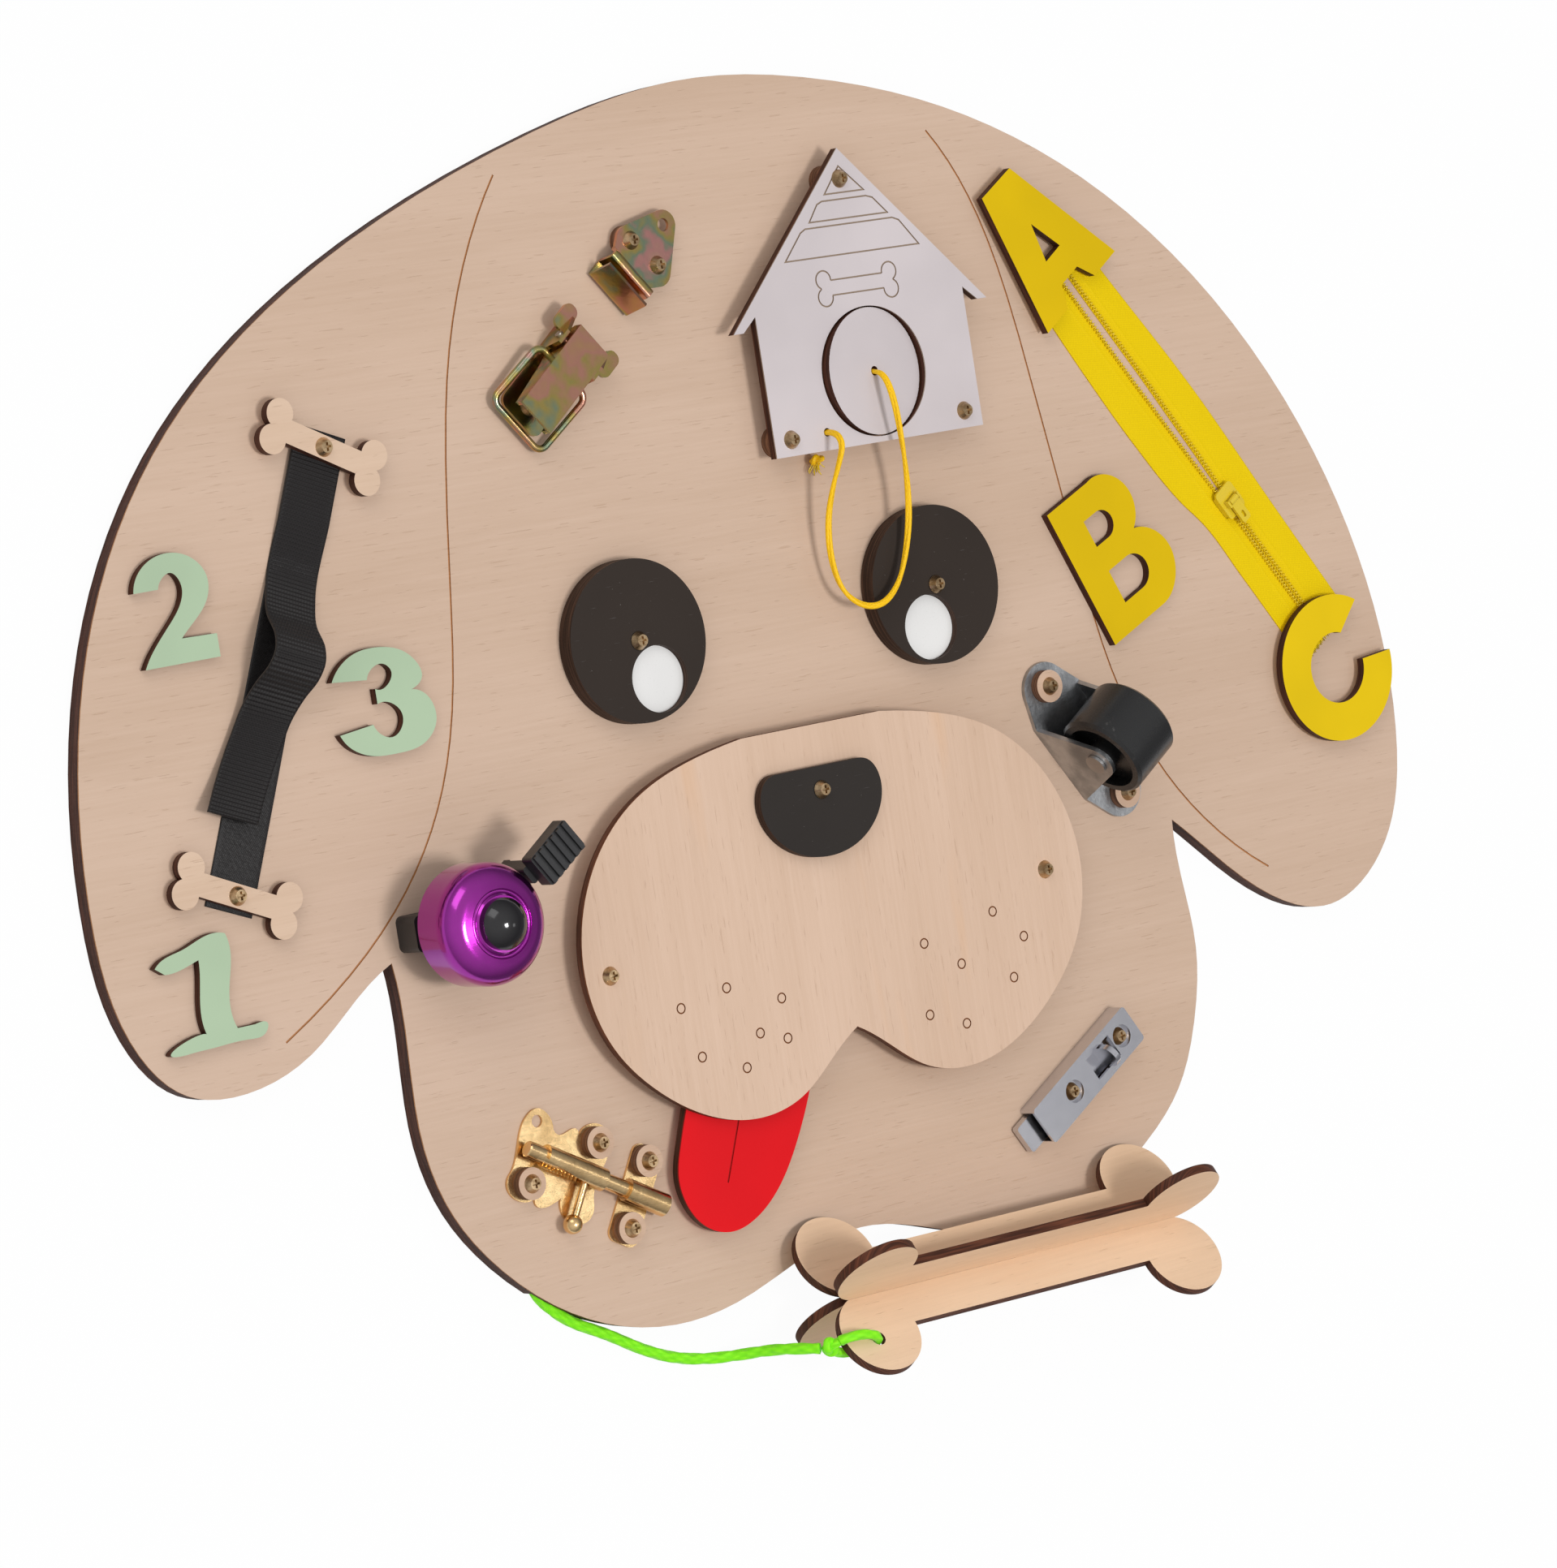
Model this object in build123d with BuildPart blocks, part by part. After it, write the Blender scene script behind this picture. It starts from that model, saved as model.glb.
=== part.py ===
from build123d import *
import os
from math import acos, asin, cos, degrees, hypot, pi, radians, sin, sqrt, tan

# A wooden busy board in the shape of a dog's head, lying on its back.
# X is the wearer's right to left across the face, Y runs up the face, and Z stands out of it.
# The origin is on the flat back, under the middle of the face.

os.makedirs("parts", exist_ok=True)

# ---- Driving dimensions, in millimetres and degrees ----

# plywood and fixings
BOARD_T = 6.0  # the head
PLY_T = 3.0  # every loose piece of plywood
STANDOFF = 6.0  # the round spacers under the muzzle and the house
SPACER_R = 5.0
TURN_GAP = 0.3  # room under and over a piece that turns on a screw
FIT = 0.05  # radial room around a screw, pin or rod
ENGRAVE_DEPTH = 0.4
ENGRAVE_W = 0.6
SCREW_R = 1.5
SCREW_HEAD_R = 2.9
SCREW_HEAD_T = 2.0
SCREW_BITE = 4.6  # how deep a screw goes into the head
WASHER_R = 4.9  # plywood washers under the screws of the metal fittings
CASTER_WASHER_R = 5.2

# outline of the head, from the notch under the left ear round the top to the right one
HEAD_EDGE = [
    (-154, -60), (-165.9, -66.7), (-185, -80.4), (-207.8, -87.8), (-229.9, -84.4), (-244.8, -66.2),
    (-251, -31), (-246.7, 16), (-231.5, 61), (-204.4, 100), (-167.6, 130.2), (-114.3, 157.3),
    (-57.6, 176.3), (1.2, 186.7), (51.4, 182.3), (97.2, 169.9), (150.1, 142.6), (194.7, 102.9),
    (228.2, 53.8), (245.9, 9.4), (253, -30), (252.6, -57), (241.3, -90.6), (211.4, -108),
    (186.1, -99.6), (167.6, -85), (150, -68.9),
]
CHIN_EDGE = [
    (150, -68.9), (150.3, -87.8), (152, -111), (146.9, -134), (135.7, -155), (115.9, -171.2),
    (94.8, -181.9), (71.5, -186.4), (47.7, -184), (28, -178), (0, -172), (-28, -178), (-47.7, -184),
    (-71.5, -186.4), (-94.8, -181.9), (-115.9, -171.2), (-133.8, -155.6), (-147.4, -135.8),
    (-153.4, -112.8), (-153.3, -89.2), (-154, -60),
]
LEFT_EAR_LINE = [
    (-74.5, 165), (-90, 140), (-100, 115), (-107, 85), (-113, 45), (-119, 10), (-128, -15),
    (-145, -40), (-165, -58), (-194, -76),
]
RIGHT_EAR_LINE = [
    (92, 162), (105, 140), (115, 105), (122, 60), (125, 40), (133, -12), (150, -53), (165, -72),
    (188, -91),
]

# eyes: two plywood discs glued together, the upper one with a round window on a white disc
EYE_R = 25.0
PUPIL_R = 10.3
PUPIL_RIM = 1.0  # of the eye's face outside its window
PUPIL_OFF = EYE_R - PUPIL_R - PUPIL_RIM  # from the eye's centre to the window's
PUPIL_T = 0.6
LEFT_EYE = (-52.7, 20.2)
LEFT_EYE_LOOKS = -65.6  # direction of the window
RIGHT_EYE = (63.5, 20.6)
RIGHT_EYE_LOOKS = -109.0

# nose, half outline from its flat top
NOSE_X = 2.05
NOSE_TOP = -27.5
NOSE_HALF = [(16, 0), (21, -2), (23.5, -8), (21.2, -17), (12.5, -25), (0, -27.9)]
NOSE_SCREW = (2.3, -34.8)

# muzzle, half outline from its flat top to the cleft of the mouth
MUZZLE_X = 4.5
MUZZLE_TOP = -14.8
MUZZLE_HALF = [
    (27, -14.8), (50, -19), (72, -28), (89, -45), (97, -66), (97.3, -80), (91, -99), (78, -114),
    (60, -125.5), (42, -129.7), (24, -126), (10, -116), (0, -109.3),
]
MUZZLE_SCREWS = [(-84, -77), (87.4, -74.6)]
WHISKER_R = 1.7
WHISKER_W = 0.45
WHISKERS = [
    (-60.3, -91.4), (-42.4, -88.4), (-22.5, -95.3), (-32.5, -104.3), (-22.5, -107.8),
    (-55.3, -107.3), (-39.4, -113.7), (35.1, -88.9), (63.9, -83.9), (74.8, -93.8), (48.5, -97.8),
    (68.4, -105.8), (33.1, -111.2), (47, -116.5),
]
TONGUE_EDGE = [
    (-57, -112), (-62, -122), (-66, -132), (-68.7, -142), (-67, -151), (-62, -158), (-52, -162),
    (-42, -159.5), (-32, -152), (-23, -140), (-16.5, -128.2), (-10, -112),
]
TONGUE_LINE = [(-43, -128), (-51, -147)]

# house with its round door
HOUSE_X = 48.7
HOUSE_HALF = [(0, 159.6), (50.3, 107), (46.5, 107), (41.2, 111.5), (41.2, 67.5), (0, 67.5)]
HOUSE_SCREWS = [(47.9, 150.1), (14.1, 72.6), (83.2, 72.9)]
DOOR_C = (50, 89.6)
DOOR_HOLE_R = 20.4
DOOR_GAP = 0.5
DOOR_TILT = 8.0  # the left edge stands up
STRING_HOLE = (28.2, 73.1)
STRING_HOLE_R = 1.3
STRING_R = 1.0
HOUSE_LINE_W = 0.5
HOUSE_BONE_Y = 117.0

# letters and digits
LETTER_PAD_T = 2.0
LETTER_PAD_R = 3.5
A_FOOT = (141.5, 104.2)
A_TURN = 34.9
A_EDGE = [(-19.9, 0), (-9.3, 47.8), (6.2, 47.3), (20, 0), (8, 0), (4.5, 7), (-4.5, 7), (-8, 0)]
A_WINDOW = [(-4, 16.5), (4, 16.5), (0, 29)]
B_FOOT = (135, -9.5)
B_TURN = 24.0
B_UPPER_BOW = [(20, 49.2), (29.5, 46.3), (33.6, 38.5), (32.2, 31), (28.3, 26.8)]
B_LOWER_BOW = [(28.3, 26.8), (35, 22.2), (38, 14), (34.3, 4.6), (24, 0)]
B_UPPER_WINDOW = ([(18, 30), (11.7, 30), (11.7, 39.5), (18, 39.5)], (22.5, 34.75))
B_LOWER_WINDOW = ([(20.5, 9), (11.5, 9), (11.5, 21), (20.5, 21)], (26.5, 15))
C_CENTRE = (226.5, -31)
C_OUTER_R = 24.3
C_INNER_R = 11.7
TWO_AT = (-222, 37.5)
THREE_AT = (-161, 0.5)

# zip
ZIP_TOP = (141, 106.6)
ZIP_TURN = -56.07
TAPE_T = 0.6
COIL_W = 1.6
COIL_T = 1.2
SLIDER_U = 92.5  # where the slider stands along the zip
SLIDER_L = 10.5
SLIDER_W = 8.6
SLIDER_WALL = 0.9
PULL_PIN_R = 0.6
PULL_L = 9.0
PULL_W = 4.0

# hook and loop strap between two small bones
STRAP_TOP = (-152, 92.5)
STRAP_BOTTOM = (-204.5, -31)
STRAP_W = 17.0
STRAP_T = 1.0
STRAP_BONE_REACH = 17.0
STRAP_BONE_TURNS = (-28.5, -24.7)

# bell
BELL_C = (-134, -52.4)
BELL_R = 18.3
BELL_WALL = 1.2
BELL_RIM_Z = 20.0
BELL_TOP_Z = 37.6
BELL_KNOB_R = 7.7
BELL_KNOB_TOP = 43.0
BELL_BASE_W = 11.0
BELL_BASE_TOP = 16.0
BELL_POST_R = 3.0
LEVER_TURN = 35.2
LEVER_T = 3.0

# brass barrel bolt
BOLT_C = (-97.6, -135.5)
BOLT_TURN = -30.4
BOLT_ROD_R = 2.5
BOLT_ROD_L = 52.4
BOLT_SHEET = 1.0
BOLT_STEM_U = -2.9
BOLT_GAP = 0.6  # between the rod and the plates
BOLT_TRAVEL = 18.0
BOLT_LIFT = 45.0  # how far the knob turns while the rod goes back

# grey slide bolt
CATCH_C = (94.2, -142.1)
CATCH_TURN = 31.2
CATCH_L = 50.0
CATCH_W = 13.8
CATCH_H = 7.0
CATCH_SHEET = 1.0
CATCH_TRAVEL = 5.0

# draw latch and its keeper
LATCH_C = (-67.8, 101.4)
LATCH_TURN = 38.3
LATCH_SHEET = 1.2
LEVER_L = 32.5
LEVER_LIP = 5.5  # of the lever in front of its pin
LEVER_W = 13.5
LATCH_PIN_U = 11.0
LATCH_PIN_Z = 13.0
BAIL_R = 1.1
BAIL_W = 25.0
BAIL_PIVOT_U = 4.0
BAIL_PIVOT_Z = 12.0
KEEPER_W = 17.8

# fixed caster
CASTER_C = (117, -37.3)
CASTER_TURN = 33.5
CASTER_HOLES = 46.0
CASTER_SHEET = 1.5
CASTER_ARM = 11.5  # middle of each arm from the middle of the wheel
AXLE_Z = 25.0
AXLE_R = 2.5
WHEEL_R = 15.0
WHEEL_W = 20.0

# toy bone of two crossed plates, and its cord
BONE_C = (43.2, -190)
BONE_TURN = -1.0
BONE_REACH = 61.5  # centre of a lobe from the middle, along the bone
BONE_SPREAD = 14.4  # and across it
BONE_LOBE_R = 13.8
BONE_SHAFT = 28.0
BONE_HOLE_PAST = 2.0  # its centre from the lobe's, both ways
BONE_HOLE_REACH = BONE_REACH + BONE_HOLE_PAST
BONE_HOLE_SPREAD = BONE_SPREAD + BONE_HOLE_PAST
BONE_HOLE_R = 2.4
CORD_R = 1.8
CORD_CHANNEL = 4.2
CORD_CHANNEL_D = 4.0

# ---- Levels worked out from them ----

FACE = BOARD_T
RAISED = FACE + STANDOFF  # underside of the muzzle and the house
RAISED_TOP = RAISED + PLY_T
EYE_Z = FACE + TURN_GAP
EYE_TOP = EYE_Z + 2 * PLY_T
NOSE_Z = RAISED_TOP + TURN_GAP
HOLE_R = SCREW_R + FIT
BOLT_PLATE_TOP = FACE + BOLT_SHEET
BOLT_AXIS_Z = BOLT_PLATE_TOP + BOLT_ROD_R + BOLT_GAP
CATCH_TOP = FACE + CATCH_H
CATCH_FLOOR = CATCH_TOP - 1.8
KEEPER_Z = FACE + PLY_T
CASTER_TOP = FACE + CASTER_SHEET
LETTER_Z = FACE + LETTER_PAD_T
TAPE_TOP = FACE + TAPE_T
COIL_TOP = TAPE_TOP + COIL_T
TOP_BONE_Z = FACE + 2 * STRAP_T
BOTTOM_BONE_Z = FACE + STRAP_T
DOOR_R = DOOR_HOLE_R - DOOR_GAP
DOOR_Z = RAISED + PLY_T / 2


def seat(x, y, z, turn=0.0):
    """A level plane at (x, y, z) whose X is turned anticlockwise by turn degrees."""
    return Plane(origin=(x, y, z), x_dir=(cos(radians(turn)), sin(radians(turn)), 0), z_dir=(0, 0, 1))


def spot(centre, turn, u, v):
    """World X and Y of the point u along and v across a frame turned by turn degrees."""
    c, s = cos(radians(turn)), sin(radians(turn))
    return (centre[0] + u * c - v * s, centre[1] + u * s + v * c)


def save(piece, name):
    """Label a finished piece and write it as one node."""
    piece.part.label = name
    export_step(piece.part, f"parts/{name}.step")


def bone_face(reach, spread, lobe, shaft):
    """Adds a bone to the open sketch: a shaft with two round lobes at each end."""
    Rectangle(2 * reach, shaft)
    with GridLocations(2 * reach, 2 * spread, 2, 2):
        Circle(lobe)


def tube_path(points):
    """Straight runs joined by arcs as large as the runs allow, and the radii of the arcs."""
    spots = [Vector(*p) for p in points]
    radii = []
    for before, here, after in zip(spots, spots[1:], spots[2:]):
        turn = (here - before).get_angle(after - here)
        run = min((here - before).length, (after - here).length)
        radii.append(0.45 * run / tan(radians(turn / 2)))
    return radii


def cord_tube(points, radius, name):
    """A round cord along a route, written as one node."""
    radii = tube_path(points)
    with BuildPart() as tube:
        with BuildLine() as path:
            FilletPolyline(*points, radius=radii)
        route = path.wires()[0]
        with BuildSketch(Plane(origin=route @ 0, z_dir=route % 0)):
            Circle(radius)
        sweep()
    share = tube.part.volume / (pi * radius**2 * route.length)
    print(name, "length", round(route.length, 1), "radii", [round(r, 1) for r in radii])
    print(name, "volume over section times length", round(share, 4))
    save(tube, name)


# ---- Where the screws stand: x, y and the height of the head's underside ----

BOLT_PLATE_SCREWS = [spot(BOLT_C, BOLT_TURN, -1.3, 10.3), spot(BOLT_C, BOLT_TURN, -20.6, -9.2)]
BOLT_KEEPER_SCREWS = [spot(BOLT_C, BOLT_TURN, 17.5, 10.9), spot(BOLT_C, BOLT_TURN, 18.3, -10.2)]
CASTER_SCREWS = [spot(CASTER_C, CASTER_TURN, 0, side * CASTER_HOLES / 2) for side in (1, -1)]
CATCH_SCREW_US = (-8.0, 18.2)
CATCH_SCREWS = [spot(CATCH_C, CATCH_TURN, u, 0) for u in CATCH_SCREW_US]
LATCH_SCREW_US = (-10.0, 4.0)
LATCH_SCREWS = [spot(LATCH_C, LATCH_TURN, u, 0) for u in LATCH_SCREW_US]
KEEPER_SCREW_SPOTS = [(52.8, 7.5), (54.2, -4.5)]
KEEPER_SCREWS = [spot(LATCH_C, LATCH_TURN, u, v) for u, v in KEEPER_SCREW_SPOTS]
BELL_SCREW = BELL_C

SCREWS = [
    (*LEFT_EYE, EYE_TOP + TURN_GAP),
    (*RIGHT_EYE, EYE_TOP + TURN_GAP),
    (*NOSE_SCREW, NOSE_Z + PLY_T + TURN_GAP),
    (*STRAP_TOP, TOP_BONE_Z + PLY_T),
    (*STRAP_BOTTOM, BOTTOM_BONE_Z + PLY_T),
]
SCREWS += [(x, y, RAISED_TOP) for x, y in MUZZLE_SCREWS + HOUSE_SCREWS]
SCREWS += [(x, y, BOLT_PLATE_TOP + PLY_T) for x, y in BOLT_PLATE_SCREWS + BOLT_KEEPER_SCREWS]
SCREWS += [(x, y, CASTER_TOP + PLY_T) for x, y in CASTER_SCREWS]
SCREWS += [(x, y, CATCH_FLOOR) for x, y in CATCH_SCREWS]
SCREWS += [(x, y, FACE + LATCH_SHEET) for x, y in LATCH_SCREWS]
SCREWS += [(x, y, KEEPER_Z + LATCH_SHEET) for x, y in KEEPER_SCREWS]

# ---- The toy bone's lie: one edge on the table, the other on the head ----

BONE_TIP = BONE_SPREAD + BONE_LOBE_R
BONE_LEAN = 45 + degrees(asin(BOARD_T / (sqrt(2) * (BONE_TIP - PLY_T / 2))))
BONE_AXIS_Z = BONE_TIP * sin(radians(BONE_LEAN)) + PLY_T / 2 * cos(radians(BONE_LEAN))
BONE_ALONG = Vector(cos(radians(BONE_TURN)), sin(radians(BONE_TURN)), 0)
BONE_UP = Vector(0, 0, 1)
BONE_SIDE = BONE_UP.cross(BONE_ALONG)
WING_A = BONE_SIDE * cos(radians(BONE_LEAN)) + BONE_UP * sin(radians(BONE_LEAN))
WING_B = BONE_UP * cos(radians(BONE_LEAN)) - BONE_SIDE * sin(radians(BONE_LEAN))
BONE_ORIGIN = Vector(BONE_C[0], BONE_C[1], BONE_AXIS_Z)


def on_bone(along, across, out):
    """A point of the holed plate: along the bone, up the plate and out of its face."""
    point = BONE_ORIGIN + BONE_ALONG * along + WING_B * across + WING_A * out
    return (point.X, point.Y, point.Z)


# ---- Cord routes ----

KNOT_REACH = BONE_REACH + BONE_LOBE_R + 4.5
TOY_KNOT = on_bone(-KNOT_REACH, BONE_SPREAD, 0)
TOY_KNOT_R = 3.9
TOY_CORD_ROUTE = [
    (-122, -148, 2), (-124, -158, 2), (-119.5, -168.5, 2), (-110, -177.5, 2), (-97.3, -183.9, 2),
    (-85.5, -191.4, 2), (-75, -196.4, 2), (-64.5, -199.3, 2), (-55.5, -200.3, 5.5), (-48.8, -199.7, 14),
    (-45.3, -199.4, 23.5), (TOY_KNOT[0] - 3.4, TOY_KNOT[1], TOY_KNOT[2] - 1.4),
]
STOP_KNOT = (-121.17, -143.86)
STOP_KNOT_R = 4.2
STOP_POCKET_R = 5.5
LOOP_OUT = 5.0
TOY_LOOP_ROUTE = [
    on_bone(-KNOT_REACH + 1.5, BONE_SPREAD, 3.4),
    on_bone(-KNOT_REACH + 5.0, BONE_SPREAD, LOOP_OUT),
    on_bone(-BONE_HOLE_REACH, BONE_HOLE_SPREAD, LOOP_OUT + 0.4),
    on_bone(-BONE_HOLE_REACH, BONE_HOLE_SPREAD, -LOOP_OUT - 0.4),
    on_bone(-KNOT_REACH + 5.0, BONE_SPREAD, -LOOP_OUT),
    on_bone(-KNOT_REACH + 1.5, BONE_SPREAD, -3.4),
]
DOOR_CORD_ROUTE = [
    (50, 89.6, 11.4), (50, 89.6, 15.5), (50.2, 88, 19.2), (50.5, 83.5, 21.2), (51.2, 76.5, 21.6),
    (52, 69.5, 20.9), (53.4, 61.5, 19.2), (54.2, 52.5, 17.6), (53.3, 42, 16.8), (50.2, 31.5, 16.4),
    (45.7, 22.8, 16.4), (38.6, 17.4, 16.5), (31.2, 18, 15.4), (25.2, 23.8, 14), (23, 34, 13.6),
    (23.2, 46, 14.8), (25, 56, 17.6), (26.6, 63.4, 20.8), (27.7, 68.4, 22.4), (28.1, 71.7, 20.6),
    (28.2, 73.1, 16.6), (28.2, 73.12, 11.4), (28.2, 73.1, 7),
]

# ---- Head ----

with BuildPart() as board:
    with BuildSketch():
        with BuildLine():
            Spline(*HEAD_EDGE)
            Spline(*CHIN_EDGE)
        make_face()
    extrude(amount=BOARD_T)
    for ear_line in (LEFT_EAR_LINE, RIGHT_EAR_LINE):
        with BuildSketch(Plane.XY.offset(FACE - ENGRAVE_DEPTH)):
            with BuildLine():
                Spline(*ear_line)
            trace(line_width=ENGRAVE_W)
        extrude(amount=2 * ENGRAVE_DEPTH, mode=Mode.SUBTRACT)
    with BuildSketch():
        with BuildLine():
            FilletPolyline(*[p[:2] for p in TOY_CORD_ROUTE[:4]], radius=tube_path(TOY_CORD_ROUTE[:4]))
        trace(line_width=CORD_CHANNEL)
        with Locations(STOP_KNOT):
            Circle(STOP_POCKET_R)
    extrude(amount=CORD_CHANNEL_D, mode=Mode.SUBTRACT)
    with Locations(*[(x, y, FACE) for x, y, _ in SCREWS]):
        Hole(SCREW_R, depth=SCREW_BITE)
save(board, "board")

# ---- Eyes ----


def make_eye(centre, looks, side):
    """An eye that turns on its screw: lower disc, upper disc with a window, white disc in it."""
    away = (PUPIL_OFF * cos(radians(looks)), PUPIL_OFF * sin(radians(looks)))
    with BuildPart() as base:
        with BuildSketch(seat(*centre, EYE_Z)):
            Circle(EYE_R)
            Circle(HOLE_R, mode=Mode.SUBTRACT)
        extrude(amount=PLY_T)
    save(base, f"eye_{side}_base")
    with BuildPart() as face:
        with BuildSketch(seat(*centre, EYE_Z + PLY_T)):
            Circle(EYE_R)
            Circle(HOLE_R, mode=Mode.SUBTRACT)
            with Locations(away):
                Circle(PUPIL_R, mode=Mode.SUBTRACT)
        extrude(amount=PLY_T)
    save(face, f"eye_{side}_face")
    with BuildPart() as pupil:
        with BuildSketch(seat(*centre, EYE_Z + PLY_T)):
            with Locations(away):
                Circle(PUPIL_R - FIT)
        extrude(amount=PUPIL_T)
    save(pupil, f"eye_{side}_pupil")


make_eye(LEFT_EYE, LEFT_EYE_LOOKS, "left")
make_eye(RIGHT_EYE, RIGHT_EYE_LOOKS, "right")

# ---- Nose, muzzle and tongue ----

with BuildPart() as nose:
    with BuildSketch(seat(NOSE_X, NOSE_TOP, NOSE_Z)):
        with BuildLine():
            nose_edge = NOSE_HALF + [(-x, y) for x, y in reversed(NOSE_HALF[:-1])]
            Spline(*nose_edge)
            Line(nose_edge[-1], nose_edge[0])
        make_face()
        with Locations((NOSE_SCREW[0] - NOSE_X, NOSE_SCREW[1] - NOSE_TOP)):
            Circle(HOLE_R, mode=Mode.SUBTRACT)
    extrude(amount=PLY_T)
save(nose, "nose")

with BuildPart() as muzzle:
    with BuildSketch(seat(MUZZLE_X, 0, RAISED)):
        with BuildLine():
            Line((0, MUZZLE_TOP), MUZZLE_HALF[0])
            Spline(*MUZZLE_HALF)
            mirror(about=Plane.YZ)
        make_face()
    extrude(amount=PLY_T)
    with Locations(*[(x, y, RAISED_TOP) for x, y in MUZZLE_SCREWS + [NOSE_SCREW]]):
        Hole(HOLE_R)
    with BuildSketch(Plane.XY.offset(RAISED_TOP - ENGRAVE_DEPTH)):
        with Locations(*WHISKERS):
            Circle(WHISKER_R)
            Circle(WHISKER_R - WHISKER_W, mode=Mode.SUBTRACT)
    extrude(amount=2 * ENGRAVE_DEPTH, mode=Mode.SUBTRACT)
save(muzzle, "muzzle")

with BuildPart() as tongue:
    with BuildSketch(Plane.XY.offset(RAISED - PLY_T)):
        with BuildLine():
            Spline(*TONGUE_EDGE)
            Line(TONGUE_EDGE[-1], TONGUE_EDGE[0])
        make_face()
    extrude(amount=PLY_T)
    with BuildSketch(Plane.XY.offset(RAISED - ENGRAVE_DEPTH)):
        with BuildLine():
            Line(*TONGUE_LINE)
        trace(line_width=ENGRAVE_W)
    extrude(amount=2 * ENGRAVE_DEPTH, mode=Mode.SUBTRACT)
save(tongue, "tongue")

# ---- House and door ----

with BuildPart() as house:
    with BuildSketch(seat(HOUSE_X, 0, RAISED)):
        with BuildLine():
            Polyline(*HOUSE_HALF)
            mirror(about=Plane.YZ)
        make_face()
    extrude(amount=PLY_T)
    with Locations(*[(x, y, RAISED_TOP) for x, y in HOUSE_SCREWS]):
        Hole(HOLE_R)
    with Locations((*DOOR_C, RAISED_TOP)):
        Hole(DOOR_HOLE_R)
    with Locations((*STRING_HOLE, RAISED_TOP)):
        Hole(STRING_HOLE_R)
    for strip in (
        [(-7.5, 145.8), (8, 145.8), (-0.5, 154)],
        [(-15, 137.8), (16, 137.8), (11, 143), (8.5, 143.8), (-9, 143.8), (-11, 143)],
        [(-26.5, 126.8), (26.5, 126.8), (20, 135), (17.5, 136), (-17, 136), (-19, 135)],
    ):
        with BuildSketch(seat(HOUSE_X, 0, RAISED_TOP - ENGRAVE_DEPTH)):
            with BuildLine():
                Polyline(*strip, close=True)
            trace(line_width=HOUSE_LINE_W)
        extrude(amount=2 * ENGRAVE_DEPTH, mode=Mode.SUBTRACT)
    with BuildSketch(seat(HOUSE_X, HOUSE_BONE_Y, RAISED_TOP - ENGRAVE_DEPTH)):
        bone_face(13, 2.7, 3.1, 5.2)
        offset(amount=-HOUSE_LINE_W, mode=Mode.SUBTRACT)
    extrude(amount=2 * ENGRAVE_DEPTH, mode=Mode.SUBTRACT)
save(house, "house")

with BuildPart() as spacers:
    with BuildSketch(Plane.XY.offset(FACE)):
        with Locations(*MUZZLE_SCREWS, NOSE_SCREW, *HOUSE_SCREWS):
            Circle(SPACER_R)
            Circle(HOLE_R, mode=Mode.SUBTRACT)
    extrude(amount=STANDOFF)
save(spacers, "spacers")

with BuildPart() as door:
    tilt = radians(DOOR_TILT)
    leaf = Plane(origin=(*DOOR_C, DOOR_Z), x_dir=(cos(tilt), 0, -sin(tilt)), z_dir=(sin(tilt), 0, cos(tilt)))
    with BuildSketch(leaf):
        Circle(DOOR_R)
        Circle(STRING_R + 0.5, mode=Mode.SUBTRACT)
    extrude(amount=PLY_T / 2, both=True)
save(door, "door")

with BuildPart() as door_knot:
    with Locations((*DOOR_C, DOOR_CORD_ROUTE[0][2] - 2.2)):
        Sphere(2.6)
    split(bisect_by=Plane.XY.offset(DOOR_CORD_ROUTE[0][2]), keep=Keep.BOTTOM)
save(door_knot, "door_knot")

cord_tube(DOOR_CORD_ROUTE, STRING_R, "door_cord")

with BuildPart() as house_knot:
    with Locations((27, 65, FACE + 3.0)):
        Sphere(2.8)
save(house_knot, "house_knot")

# ---- Letters ----

with BuildPart() as letter_a:
    with BuildSketch(seat(*A_FOOT, LETTER_Z, A_TURN)):
        with BuildLine():
            Polyline(*A_EDGE, close=True)
        make_face()
        with BuildLine():
            Polyline(*A_WINDOW, close=True)
        make_face(mode=Mode.SUBTRACT)
    extrude(amount=PLY_T)
save(letter_a, "letter_a")

with BuildPart() as letter_b:
    with BuildSketch(seat(*B_FOOT, FACE, B_TURN)):
        with BuildLine():
            Polyline(B_LOWER_BOW[-1], (0, 0), (0, B_UPPER_BOW[0][1]), B_UPPER_BOW[0])
            Spline(*B_UPPER_BOW)
            Spline(*B_LOWER_BOW)
        make_face()
        for corners, bow in (B_UPPER_WINDOW, B_LOWER_WINDOW):
            with BuildLine():
                Polyline(*corners)
                ThreePointArc(corners[-1], bow, corners[0])
            make_face(mode=Mode.SUBTRACT)
    extrude(amount=PLY_T)
save(letter_b, "letter_b")


def ray(radius, angle):
    """A point at a radius and an angle from the letter's middle."""
    return (radius * cos(radians(angle)), radius * sin(radians(angle)))


with BuildPart() as letter_c:
    with BuildSketch(seat(*C_CENTRE, LETTER_Z)):
        Circle(C_OUTER_R)
        Circle(C_INNER_R, mode=Mode.SUBTRACT)
        with BuildLine():
            Polyline((0, 0), ray(40, 6), ray(40, 33), ray(35, 57), ray(C_INNER_R, 72), close=True)
        make_face(mode=Mode.SUBTRACT)
    extrude(amount=PLY_T)
save(letter_c, "letter_c")

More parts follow.
